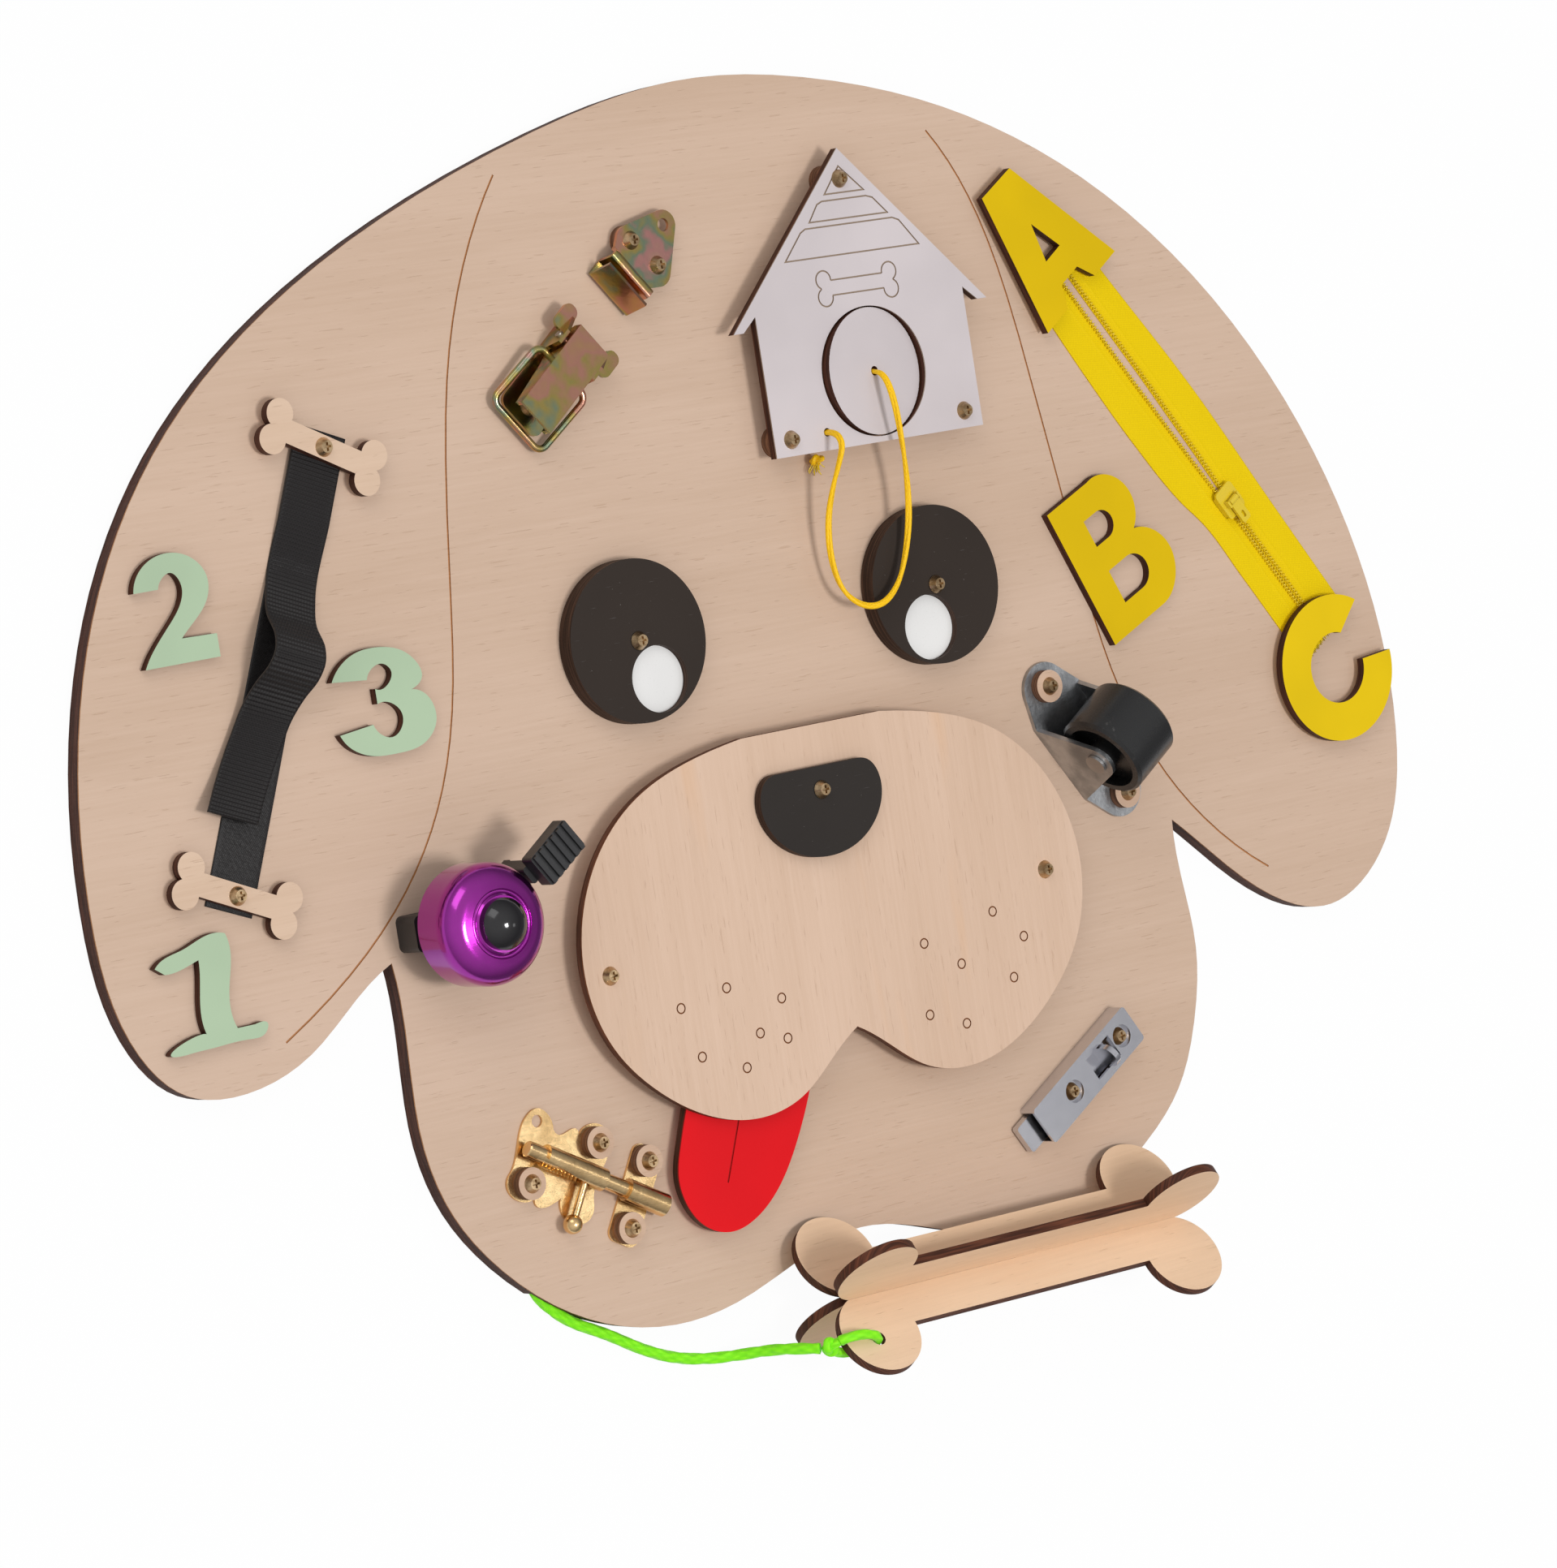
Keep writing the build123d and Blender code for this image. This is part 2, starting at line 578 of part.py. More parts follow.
with BuildPart() as letter_pads:
    with BuildSketch(seat(*A_FOOT, FACE, A_TURN)):
        with Locations((-11.5, 12), (11.5, 12), (-1, 39)):
            Circle(LETTER_PAD_R)
    extrude(amount=LETTER_PAD_T)
    with BuildSketch(seat(*C_CENTRE, FACE)):
        with Locations(ray(18, 205), ray(18, 275), ray(18, 345)):
            Circle(LETTER_PAD_R)
    extrude(amount=LETTER_PAD_T)
save(letter_pads, "letter_pads")

# ---- Digits ----

with BuildPart() as number_1:
    with BuildSketch(Plane.XY.offset(FACE)):
        with BuildLine():
            Spline((-235, -46.8), (-233, -45.2), (-225, -43), (-219, -41), (-214, -40.1), (-210.2, -40.8))
            Spline((-210.2, -40.8), (-209.9, -50), (-211.5, -56), (-212.3, -62), (-211, -68.4))
            Line((-211, -68.4), (-205, -68.4))
            Spline((-205, -68.4), (-200.8, -69.6), (-201.8, -71.3), (-208, -72.3), (-220, -72.5), (-229, -72.8))
            Spline((-229, -72.8), (-234.2, -71.6), (-230.5, -69.6), (-221.3, -68.8))
            Spline((-221.3, -68.8), (-222.3, -62), (-221.3, -55), (-220.3, -46.8))
            Spline((-220.3, -46.8), (-225, -48.2), (-229, -49), (-232, -49))
            Line((-232, -49), (-235, -46.8))
        make_face()
    extrude(amount=PLY_T)
save(number_1, "number_1")

with BuildPart() as number_2:
    with BuildSketch(seat(*TWO_AT, FACE)):
        with BuildLine():
            Spline(
                (0, 22), (2.5, 27.5), (7.5, 31), (13, 32), (20.5, 29.8), (25, 23.5), (24, 17.5),
                (19.5, 12.3), (13.5, 7.2),
            )
            Polyline((13.5, 7.2), (25.3, 7), (25.3, 0.2), (0, 0))
            Spline((0, 0), (4, 5.5), (10.5, 12), (15.5, 18.5), (16, 22.5), (13, 26.3), (10, 25), (8.3, 22.1))
            Line((8.3, 22.1), (0, 22))
        make_face()
    extrude(amount=PLY_T)
save(number_2, "number_2")

with BuildPart() as number_3:
    with BuildSketch(seat(*THREE_AT, FACE)):
        with BuildLine():
            Spline((0, 23.8), (3.5, 28), (9, 31), (18, 31.7), (28, 28), (31.5, 21.8), (27, 17.8))
            Spline((27, 17.8), (33.5, 13), (34, 7.5), (29.5, 2), (19, 0), (8, 1.2), (2.2, 4.8), (0, 8.2))
            Line((0, 8.2), (12, 9.6))
            Spline((12, 9.6), (14, 6.5), (18, 5), (21.5, 7.2), (22.5, 11), (20, 14.5), (14.5, 15.3))
            Line((14.5, 15.3), (14.5, 19.8))
            Spline((14.5, 19.8), (19.5, 20.8), (21, 24), (18.5, 26.7), (15, 26.2), (12.2, 22.8))
            Line((12.2, 22.8), (0, 23.8))
        make_face()
    extrude(amount=PLY_T)
save(number_3, "number_3")

# ---- Zip: u runs down it from the A to the C, v across it ----

LEFT_TAPE_OUTER = [(-4, -14.6), (25, -15.8), (53, -16.1), (80, -14.6), (92, -12.4), (115, -12.2), (148, -12.4)]
LEFT_TAPE_INNER = [(148, -0.15), (100, -0.15), (75, -0.9), (40, -1.4), (-4, -1.3)]
RIGHT_TAPE_OUTER = [(148, 13.9), (103, 14.7), (58, 15.6), (9, 13.7), (-4, 13.2)]
RIGHT_TAPE_INNER = [(-4, 1.3), (40, 1.4), (75, 0.9), (100, 0.15), (148, 0.15)]

with BuildPart() as zip_tapes:
    for outer, inner in ((LEFT_TAPE_OUTER, LEFT_TAPE_INNER), (RIGHT_TAPE_OUTER, RIGHT_TAPE_INNER)):
        with BuildSketch(seat(*ZIP_TOP, FACE, ZIP_TURN)):
            with BuildLine():
                Spline(*outer)
                Polyline(outer[-1], *inner, outer[0])
            make_face()
        extrude(amount=TAPE_T)
save(zip_tapes, "zip_tapes")

with BuildPart() as zip_coils:
    for edge, side in ((LEFT_TAPE_INNER, -1), (RIGHT_TAPE_INNER, 1)):
        away = [(u, v + side * COIL_W) for u, v in reversed(edge)]
        with BuildSketch(seat(*ZIP_TOP, TAPE_TOP, ZIP_TURN)):
            with BuildLine():
                Polyline(*edge, *away, close=True)
            make_face()
        extrude(amount=COIL_T)
save(zip_coils, "zip_coils")

SLIDER_TOP = COIL_TOP + TURN_GAP + SLIDER_WALL
PULL_AXIS_Z = SLIDER_TOP + 1.3
SLIDER_AT = spot(ZIP_TOP, ZIP_TURN, SLIDER_U, 0)

with BuildPart() as zip_slider:
    with BuildSketch(seat(*SLIDER_AT, SLIDER_TOP - SLIDER_WALL, ZIP_TURN)):
        RectangleRounded(SLIDER_L, SLIDER_W, 1.5)
    extrude(amount=SLIDER_WALL)
    with BuildSketch(seat(*SLIDER_AT, TAPE_TOP + TURN_GAP, ZIP_TURN)):
        with Locations((0, (SLIDER_W - SLIDER_WALL) / 2), (0, (SLIDER_WALL - SLIDER_W) / 2)):
            Rectangle(SLIDER_L - 3, SLIDER_WALL)
    extrude(amount=SLIDER_TOP - TAPE_TOP - TURN_GAP)
    with BuildSketch(seat(*SLIDER_AT, SLIDER_TOP, ZIP_TURN)):
        with Locations((0, 2.6), (0, -2.6)):
            Rectangle(2.4, 0.8)
    extrude(amount=2.1)
    with Locations(seat(*SLIDER_AT, PULL_AXIS_Z, ZIP_TURN)):
        Cylinder(PULL_PIN_R, 5.2, rotation=(90, 0, 0))
save(zip_slider, "zip_slider")

with BuildPart() as zip_pull:
    with BuildSketch(seat(*SLIDER_AT, PULL_AXIS_Z - 0.5, ZIP_TURN)):
        with Locations((PULL_L / 2 - 0.4, 0)):
            RectangleRounded(PULL_L, PULL_W, 1.0)
        with Locations((PULL_L - 3, 0)):
            SlotOverall(2.6, 1.2, mode=Mode.SUBTRACT)
    extrude(amount=1.0)
    with Locations(seat(*SLIDER_AT, PULL_AXIS_Z, ZIP_TURN)):
        Cylinder(PULL_PIN_R + 0.5, PULL_W - 0.2, rotation=(90, 0, 0))
        Cylinder(PULL_PIN_R + FIT, PULL_W + 1, rotation=(90, 0, 0), mode=Mode.SUBTRACT)
save(zip_pull, "zip_pull")

# ---- Strap ----

STRAP_L = hypot(STRAP_TOP[0] - STRAP_BOTTOM[0], STRAP_TOP[1] - STRAP_BOTTOM[1])
STRAP_DOWN = Vector(STRAP_BOTTOM[0] - STRAP_TOP[0], STRAP_BOTTOM[1] - STRAP_TOP[1], 0).normalized()
STRAP_TURN = Vector(1, 0, 0).get_signed_angle(STRAP_DOWN, Vector(0, 0, 1))
STRAP_END = 5.0  # how far each strip runs on past its screw

with BuildPart() as strap_hook:
    with BuildSketch(seat(*STRAP_TOP, FACE, STRAP_TURN)):
        with Locations((STRAP_L / 2, 0)):
            Rectangle(STRAP_L + 2 * STRAP_END, STRAP_W - 1)
        with Locations((0, 0), (STRAP_L, 0)):
            Circle(HOLE_R, mode=Mode.SUBTRACT)
    extrude(amount=STRAP_T)
save(strap_hook, "strap_hook")

with BuildPart() as strap_loop:
    side_view = Plane(
        origin=(*STRAP_TOP, FACE + 1.5 * STRAP_T), x_dir=STRAP_DOWN, z_dir=STRAP_DOWN.cross(Vector(0, 0, 1))
    )
    with BuildSketch(side_view):
        with BuildLine():
            Line((-STRAP_END, 0), (44, 0))
            Spline((44, 0), (52, 3.5), (59, 11), (66, 12.2), (72, 6), (79, 1.4), (88, 0.4), tangents=[(1, 0), (1, 0)])
            Spline((88, 0.4), (98, 0.7), (106, 2), (113, 4), tangents=[(1, 0), (1, 0.3)])
        trace(line_width=STRAP_T)
    extrude(amount=STRAP_W / 2, both=True)
    with Locations((*STRAP_TOP, FACE + 2 * STRAP_T)):
        Hole(HOLE_R, depth=STRAP_T)
save(strap_loop, "strap_loop")

for strap_bone_name, at, level, lean in (
    ("strap_bone_top", STRAP_TOP, TOP_BONE_Z, STRAP_BONE_TURNS[0]),
    ("strap_bone_bottom", STRAP_BOTTOM, BOTTOM_BONE_Z, STRAP_BONE_TURNS[1]),
):
    with BuildPart() as strap_bone:
        with BuildSketch(seat(*at, level, lean)):
            bone_face(STRAP_BONE_REACH, 4.0, 4.5, 7.0)
            Circle(HOLE_R, mode=Mode.SUBTRACT)
        extrude(amount=PLY_T)
    save(strap_bone, strap_bone_name)

# ---- Bell ----

with BuildPart() as bell_base:
    with BuildSketch(seat(*BELL_C, FACE)):
        with Locations((-1, 0)):
            RectangleRounded(31, BELL_BASE_W, 2)
    extrude(amount=BELL_BASE_TOP - FACE)
    with BuildSketch(seat(*BELL_C, BELL_BASE_TOP - 3)):
        Circle(9)
    extrude(amount=3)
save(bell_base, "bell_base")

with BuildPart() as bell_post:
    with BuildSketch(seat(*BELL_C, BELL_BASE_TOP)):
        Circle(BELL_POST_R)
    extrude(amount=BELL_TOP_Z - 2 * BELL_WALL - BELL_BASE_TOP)
    with BuildSketch(seat(*BELL_C, BELL_TOP_Z - 2 * BELL_WALL)):
        Circle(BELL_POST_R - 1)
    extrude(amount=2 * BELL_WALL)
save(bell_post, "bell_post")

BELL_SECTION = Plane(origin=(*BELL_C, 0), x_dir=(1, 0, 0), z_dir=(0, -1, 0))
BELL_AXIS = Axis((*BELL_C, 0), (0, 0, 1))

with BuildPart() as bell_dome:
    with BuildSketch(BELL_SECTION):
        with BuildLine():
            Line((BELL_R, BELL_RIM_Z), (BELL_R, BELL_TOP_Z - 8))
            ThreePointArc((BELL_R, BELL_TOP_Z - 8), (BELL_R - 1.8, BELL_TOP_Z - 3.2), (BELL_R - 6.2, BELL_TOP_Z - 0.9))
            Line((BELL_R - 6.2, BELL_TOP_Z - 0.9), (BELL_KNOB_R + 2.7, BELL_TOP_Z - 0.6))
            ThreePointArc(
                (BELL_KNOB_R + 2.7, BELL_TOP_Z - 0.6), (BELL_KNOB_R + 2, BELL_TOP_Z - 1.2), (BELL_KNOB_R + 1.3, BELL_TOP_Z - 0.6)
            )
            Polyline(
                (BELL_KNOB_R + 1.3, BELL_TOP_Z - 0.6), (BELL_KNOB_R + 0.7, BELL_TOP_Z),
                (BELL_POST_R - 1 + FIT, BELL_TOP_Z), (BELL_POST_R - 1 + FIT, BELL_TOP_Z - 2 * BELL_WALL),
                (BELL_R - 6.2, BELL_TOP_Z - 2 * BELL_WALL),
            )
            ThreePointArc(
                (BELL_R - 6.2, BELL_TOP_Z - 2 * BELL_WALL),
                (BELL_R - 2.9, BELL_TOP_Z - 4.4),
                (BELL_R - BELL_WALL, BELL_TOP_Z - 8),
            )
            Polyline((BELL_R - BELL_WALL, BELL_TOP_Z - 8), (BELL_R - BELL_WALL, BELL_RIM_Z), (BELL_R, BELL_RIM_Z))
        make_face()
    revolve(axis=BELL_AXIS)
save(bell_dome, "bell_dome")

KNOB_RISE = BELL_KNOB_TOP - BELL_TOP_Z - 1.4
KNOB_CAP_R = (BELL_KNOB_R**2 + KNOB_RISE**2) / (2 * KNOB_RISE)
KNOB_CAP_FROM = degrees(acos(BELL_KNOB_R / KNOB_CAP_R))

with BuildPart() as bell_knob:
    with BuildSketch(BELL_SECTION):
        with BuildLine():
            CenterArc((0, BELL_KNOB_TOP - KNOB_CAP_R), KNOB_CAP_R, KNOB_CAP_FROM, 90 - KNOB_CAP_FROM)
            Polyline(
                (0, BELL_KNOB_TOP), (0, BELL_TOP_Z), (BELL_KNOB_R, BELL_TOP_Z), (BELL_KNOB_R, BELL_TOP_Z + 1.4)
            )
        make_face()
    revolve(axis=BELL_AXIS)
save(bell_knob, "bell_knob")

with BuildPart() as bell_spring:
    with BuildSketch(BELL_SECTION):
        with Locations(*[(BELL_POST_R + 1.1, BELL_RIM_Z + 0.5 + 0.9 * turn) for turn in range(7)]):
            Circle(0.5)
    revolve(axis=BELL_AXIS)
save(bell_spring, "bell_spring")

LEVER_Z = BELL_BASE_TOP + TURN_GAP
PAD_Z = 31.0

with BuildPart() as bell_lever:
    with BuildSketch(seat(*BELL_C, LEVER_Z, LEVER_TURN)):
        Circle(6)
        with Locations((12, 0)):
            Rectangle(24, 6)
        Circle(BELL_POST_R + FIT, mode=Mode.SUBTRACT)
    extrude(amount=LEVER_T)
    with BuildSketch(seat(*BELL_C, LEVER_Z, LEVER_TURN)):
        with Locations((BELL_R + 3.4, 0)):
            RectangleRounded(5, 6, 1)
    extrude(amount=PAD_Z - LEVER_Z)
    with BuildSketch(seat(*BELL_C, PAD_Z, LEVER_TURN)):
        with Locations((29.4, 0)):
            RectangleRounded(17, 11, 1)
    extrude(amount=5)
    with BuildSketch(seat(*BELL_C, PAD_Z + 5, LEVER_TURN)):
        with Locations(*[(22.4 + 2.8 * rib, 0) for rib in range(6)]):
            Rectangle(1.5, 10.4)
    extrude(amount=1)
    with BuildSketch(seat(*BELL_C, LEVER_Z + LEVER_T, LEVER_TURN)):
        with Locations((11.5, 0)):
            Circle(2)
    extrude(amount=7)
save(bell_lever, "bell_lever")

# ---- Brass barrel bolt: u runs along the rod, v across it ----


def bolt_seat(z, u=0.0, v=0.0):
    """A level plane in the bolt's own frame."""
    return seat(*spot(BOLT_C, BOLT_TURN, u, v), z, BOLT_TURN)


BARREL_R = BOLT_ROD_R + 1.1
BARREL_BORE_R = BOLT_ROD_R + FIT
BARREL_ENDS = (-19.5, 3.0)
KEEPER_ENDS = (12.0, 27.0)
ROD_AXIS = Vector(cos(radians(BOLT_TURN)), sin(radians(BOLT_TURN)), 0)


def rod_section(u):
    """A plane across the rod at u, with its Y up."""
    x, y = spot(BOLT_C, BOLT_TURN, u, 0)
    return Plane(origin=(x, y, BOLT_AXIS_Z), x_dir=ROD_AXIS.cross(Vector(0, 0, 1)), z_dir=ROD_AXIS)


with BuildPart() as bolt_plate:
    with BuildSketch(bolt_seat(FACE)):
        with BuildLine():
            Spline((-27, -8), (-27.5, 1), (-27.6, 9), (-24.5, 13.2), (-20, 12.5), (-17, 9.2))
            Spline((-17, 9.2), (-13, 9), (-9.5, 12), (-7.5, 10.5))
            Spline((-7.5, 10.5), (-5.5, 14.5), (-1.5, 16), (3, 14), (4.5, 9), (3.6, 2), (4.5, -7))
            Spline((4.5, -7), (3.5, -13.5), (-1, -15.5), (-6, -13), (-7.5, -9.5))
            Spline((-7.5, -9.5), (-10.5, -12.8), (-14.5, -14.5), (-16.5, -12.5))
            Spline((-16.5, -12.5), (-20.6, -15), (-26, -13.5), (-27, -8))
        make_face()
        with Locations((-23.4, 9.5)):
            Circle(1.9, mode=Mode.SUBTRACT)
        with Locations((-1.3, 10.3), (-20.6, -9.2)):
            Circle(HOLE_R, mode=Mode.SUBTRACT)
    extrude(amount=BOLT_SHEET)
    with BuildSketch(rod_section(BARREL_ENDS[0])):
        Circle(BARREL_R)
    extrude(amount=BARREL_ENDS[1] - BARREL_ENDS[0])
    with BuildSketch(rod_section(BARREL_ENDS[0] - 1)):
        Circle(BARREL_BORE_R)
    extrude(amount=BARREL_ENDS[1] - BARREL_ENDS[0] + 2, mode=Mode.SUBTRACT)
    for step in range(13):
        share = step / 12
        lift = radians(BOLT_LIFT * share)
        across = ROD_AXIS.cross(Vector(0, 0, 1))
        out = across * cos(lift) + Vector(0, 0, 1) * sin(lift)
        x, y = spot(BOLT_C, BOLT_TURN, BOLT_STEM_U - BOLT_TRAVEL * share, 0)
        with BuildSketch(Plane(origin=(x, y, BOLT_AXIS_Z), z_dir=out)):
            Circle(1.7)
        extrude(amount=BARREL_R + 2, mode=Mode.SUBTRACT)
save(bolt_plate, "bolt_plate")

with BuildPart() as bolt_keeper:
    with BuildSketch(bolt_seat(FACE, 18)):
        RectangleRounded(11, 31, 3)
        with Locations((-0.5, 10.9), (0.3, -10.2)):
            Circle(HOLE_R, mode=Mode.SUBTRACT)
    extrude(amount=BOLT_SHEET)
    with BuildSketch(rod_section(KEEPER_ENDS[0])):
        Circle(BARREL_R)
    extrude(amount=KEEPER_ENDS[1] - KEEPER_ENDS[0])
    with BuildSketch(rod_section(KEEPER_ENDS[0] - 1)):
        Circle(BARREL_BORE_R)
    extrude(amount=KEEPER_ENDS[1] - KEEPER_ENDS[0] + 2, mode=Mode.SUBTRACT)
save(bolt_keeper, "bolt_keeper")

STEM_R = 1.2
KNOB_R = 3.0
STEM_L = 14.0
STEM_GAP = 0.12  # between the rod and the stem's hollow foot

with BuildPart() as bolt_rod:
    with BuildSketch(rod_section(-BOLT_ROD_L / 2)):
        Circle(BOLT_ROD_R)
    extrude(amount=BOLT_ROD_L)
    chamfer(bolt_rod.edges().filter_by(GeomType.CIRCLE), 0.4)
save(bolt_rod, "bolt_rod")

with BuildPart() as bolt_knob:
    x, y = spot(BOLT_C, BOLT_TURN, BOLT_STEM_U, 0)
    with BuildSketch(Plane(origin=(x, y, BOLT_AXIS_Z), z_dir=ROD_AXIS.cross(Vector(0, 0, 1)))):
        Circle(STEM_R)
    extrude(amount=STEM_L)
    with BuildSketch(rod_section(BOLT_STEM_U - 2 * STEM_R)):
        Circle(BOLT_ROD_R + STEM_GAP)
    extrude(amount=4 * STEM_R, mode=Mode.SUBTRACT)
    knob_x, knob_y = spot(BOLT_C, BOLT_TURN, BOLT_STEM_U, -STEM_L - 2)
    with Locations((knob_x, knob_y, BOLT_AXIS_Z)):
        Sphere(KNOB_R)
save(bolt_knob, "bolt_knob")

with BuildPart() as wood_washers:
    with BuildSketch(Plane.XY.offset(BOLT_PLATE_TOP)):
        with Locations(*BOLT_PLATE_SCREWS, *BOLT_KEEPER_SCREWS):
            Circle(WASHER_R)
            Circle(HOLE_R, mode=Mode.SUBTRACT)
    extrude(amount=PLY_T)
    with BuildSketch(Plane.XY.offset(CASTER_TOP)):
        with Locations(*CASTER_SCREWS):
            Circle(CASTER_WASHER_R)
            Circle(HOLE_R, mode=Mode.SUBTRACT)
    extrude(amount=PLY_T)
    with BuildSketch(Plane.XY.offset(FACE)):
        with Locations(*KEEPER_SCREWS):
            Circle(WASHER_R)
            Circle(HOLE_R, mode=Mode.SUBTRACT)
    extrude(amount=KEEPER_Z - FACE)
save(wood_washers, "wood_washers")

# ---- Grey slide bolt: u runs along the case ----


def catch_seat(z, u=0.0, v=0.0):
    """A level plane in the slide bolt's own frame."""
    return seat(*spot(CATCH_C, CATCH_TURN, u, v), z, CATCH_TURN)


WINDOW = (2.0, 14.0)
LUG_U = 9.0
LUG_T = 2.0
TONGUE_W = 10.0
TONGUE_Z = FACE + 0.8
TONGUE_T = 2.6
TONGUE_ENDS = (-31.5, 13.0)

with BuildPart() as slide_bolt_case:
    with BuildSketch(catch_seat(FACE)):
        RectangleRounded(CATCH_L, CATCH_W, 1.2)
    extrude(amount=CATCH_H)
    with BuildSketch(catch_seat(FACE, -CATCH_SHEET)):
        Rectangle(CATCH_L, CATCH_W - 2 * CATCH_SHEET)
    extrude(amount=CATCH_H - CATCH_SHEET, mode=Mode.SUBTRACT)
    with BuildSketch(catch_seat(CATCH_FLOOR - CATCH_SHEET)):
        with Locations(*[(u, 0) for u in CATCH_SCREW_US]):
            Circle(4.6)
    extrude(amount=CATCH_TOP - CATCH_FLOOR + CATCH_SHEET)
    with BuildSketch(catch_seat(CATCH_FLOOR)):
        with Locations(*[(u, 0) for u in CATCH_SCREW_US]):
            Circle(3.7)
    extrude(amount=CATCH_H, mode=Mode.SUBTRACT)
    with BuildSketch(catch_seat(FACE)):
        with Locations(*[(u, 0) for u in CATCH_SCREW_US]):
            Circle(HOLE_R)
        with Locations((sum(WINDOW) / 2, 0)):
            Rectangle(WINDOW[1] - WINDOW[0], 8.4)
    extrude(amount=CATCH_H + 1, mode=Mode.SUBTRACT)
save(slide_bolt_case, "slide_bolt_case")

with BuildPart() as slide_bolt_tongue:
    with BuildSketch(catch_seat(TONGUE_Z, sum(TONGUE_ENDS) / 2)):
        RectangleRounded(TONGUE_ENDS[1] - TONGUE_ENDS[0], TONGUE_W, 1.0)
    extrude(amount=TONGUE_T)
    with BuildSketch(catch_seat(TONGUE_Z, CATCH_SCREW_US[0] + CATCH_TRAVEL / 2)):
        SlotCenterToCenter(CATCH_TRAVEL, 2 * (SCREW_R + 0.4))
    extrude(amount=TONGUE_T, mode=Mode.SUBTRACT)
    lug_x, lug_y = spot(CATCH_C, CATCH_TURN, LUG_U - LUG_T / 2, 0)
    catch_along = Vector(cos(radians(CATCH_TURN)), sin(radians(CATCH_TURN)), 0)
    with BuildSketch(Plane(origin=(lug_x, lug_y, 0), x_dir=Vector(0, 0, 1).cross(catch_along), z_dir=catch_along)):
        with Locations((0, (TONGUE_Z + 15) / 2)):
            Rectangle(7.6, 15 - TONGUE_Z)
        with Locations((0, 15)):
            Circle(3.8)
    extrude(amount=LUG_T)
save(slide_bolt_tongue, "slide_bolt_tongue")

# ---- Draw latch: u runs along the lever towards the keeper ----


def latch_seat(z, u=0.0, v=0.0):
    """A level plane in the latch's own frame."""
    return seat(*spot(LATCH_C, LATCH_TURN, u, v), z, LATCH_TURN)


LATCH_ALONG = Vector(cos(radians(LATCH_TURN)), sin(radians(LATCH_TURN)), 0)
LATCH_ACROSS = Vector(0, 0, 1).cross(LATCH_ALONG)


def latch_side(v):
    """An upright plane along the latch at v: its X is u, its Y is up and it faces back across."""
    x, y = spot(LATCH_C, LATCH_TURN, 0, v)
    return Plane(origin=(x, y, 0), x_dir=LATCH_ALONG, z_dir=-LATCH_ACROSS)


EAR_V = LEVER_W / 2 + 0.6
EAR_OUT = 5.4
LEVER_END = LATCH_PIN_U + LEVER_LIP
LEVER_START = LEVER_END - LEVER_L
LEVER_TOP = LATCH_PIN_Z + 4.3
PIN_R = 1.25

with BuildPart() as latch_base:
    with BuildSketch(latch_seat(FACE, 1)):
        RectangleRounded(34, 2 * (EAR_V + LATCH_SHEET), 3)
        with Locations(*[(u - 1, 0) for u in LATCH_SCREW_US]):
            Circle(HOLE_R, mode=Mode.SUBTRACT)
    extrude(amount=LATCH_SHEET)
    for side in (1, -1):
        with BuildSketch(latch_side(side * EAR_V if side < 0 else EAR_V + LATCH_SHEET)):
            with BuildLine():
                Polyline((4, FACE), (8, 15.6), (13, 15.6), (20, 12), (17.9, FACE), close=True)
            make_face()
            with Locations((LATCH_PIN_U, LATCH_PIN_Z)):
                Circle(PIN_R + FIT, mode=Mode.SUBTRACT)
        extrude(amount=LATCH_SHEET)
        with BuildSketch(latch_seat(11.4, 17, side * (EAR_V + EAR_OUT / 2))):
            RectangleRounded(9, EAR_OUT, 2.4)
        extrude(amount=LATCH_SHEET)
save(latch_base, "latch_base")

with BuildPart() as latch_pin:
    with BuildSketch(latch_side(EAR_V + LATCH_SHEET + 0.6)):
        with Locations((LATCH_PIN_U, LATCH_PIN_Z)):
            Circle(PIN_R)
    extrude(amount=2 * (EAR_V + LATCH_SHEET + 0.6))
save(latch_pin, "latch_pin")

with BuildPart() as latch_lever:
    with BuildSketch(latch_side(LEVER_W / 2)):
        with BuildLine():
            Polyline(
                (LEVER_START, LEVER_TOP - 3.5), (LEVER_START, LEVER_TOP), (LEVER_END, LEVER_TOP),
                (LEVER_END, LATCH_PIN_Z + 1), (LATCH_PIN_U + 2, LATCH_PIN_Z - 2.4), (LATCH_PIN_U - 1, LATCH_PIN_Z - 2.6),
                (BAIL_PIVOT_U, BAIL_PIVOT_Z - 2.5), (BAIL_PIVOT_U - 3, BAIL_PIVOT_Z - 1.5), close=True,
            )
        make_face()
    extrude(amount=LEVER_W)
    with BuildSketch(latch_side(LEVER_W / 2 - LATCH_SHEET)):
        with Locations(((LEVER_START + LEVER_END) / 2, LEVER_TOP - LATCH_SHEET - 10)):
            Rectangle(LEVER_L + 10, 20)
    extrude(amount=LEVER_W - 2 * LATCH_SHEET, mode=Mode.SUBTRACT)
    with BuildSketch(latch_side(LEVER_W)):
        with Locations((LATCH_PIN_U, LATCH_PIN_Z)):
            Circle(PIN_R + FIT)
        with Locations((BAIL_PIVOT_U, BAIL_PIVOT_Z)):
            Circle(BAIL_R + FIT)
    extrude(amount=2 * LEVER_W, mode=Mode.SUBTRACT)
save(latch_lever, "latch_lever")

BAIL_ARM = 23.0
BAIL_DIP = 7.5  # degrees below level, folded back

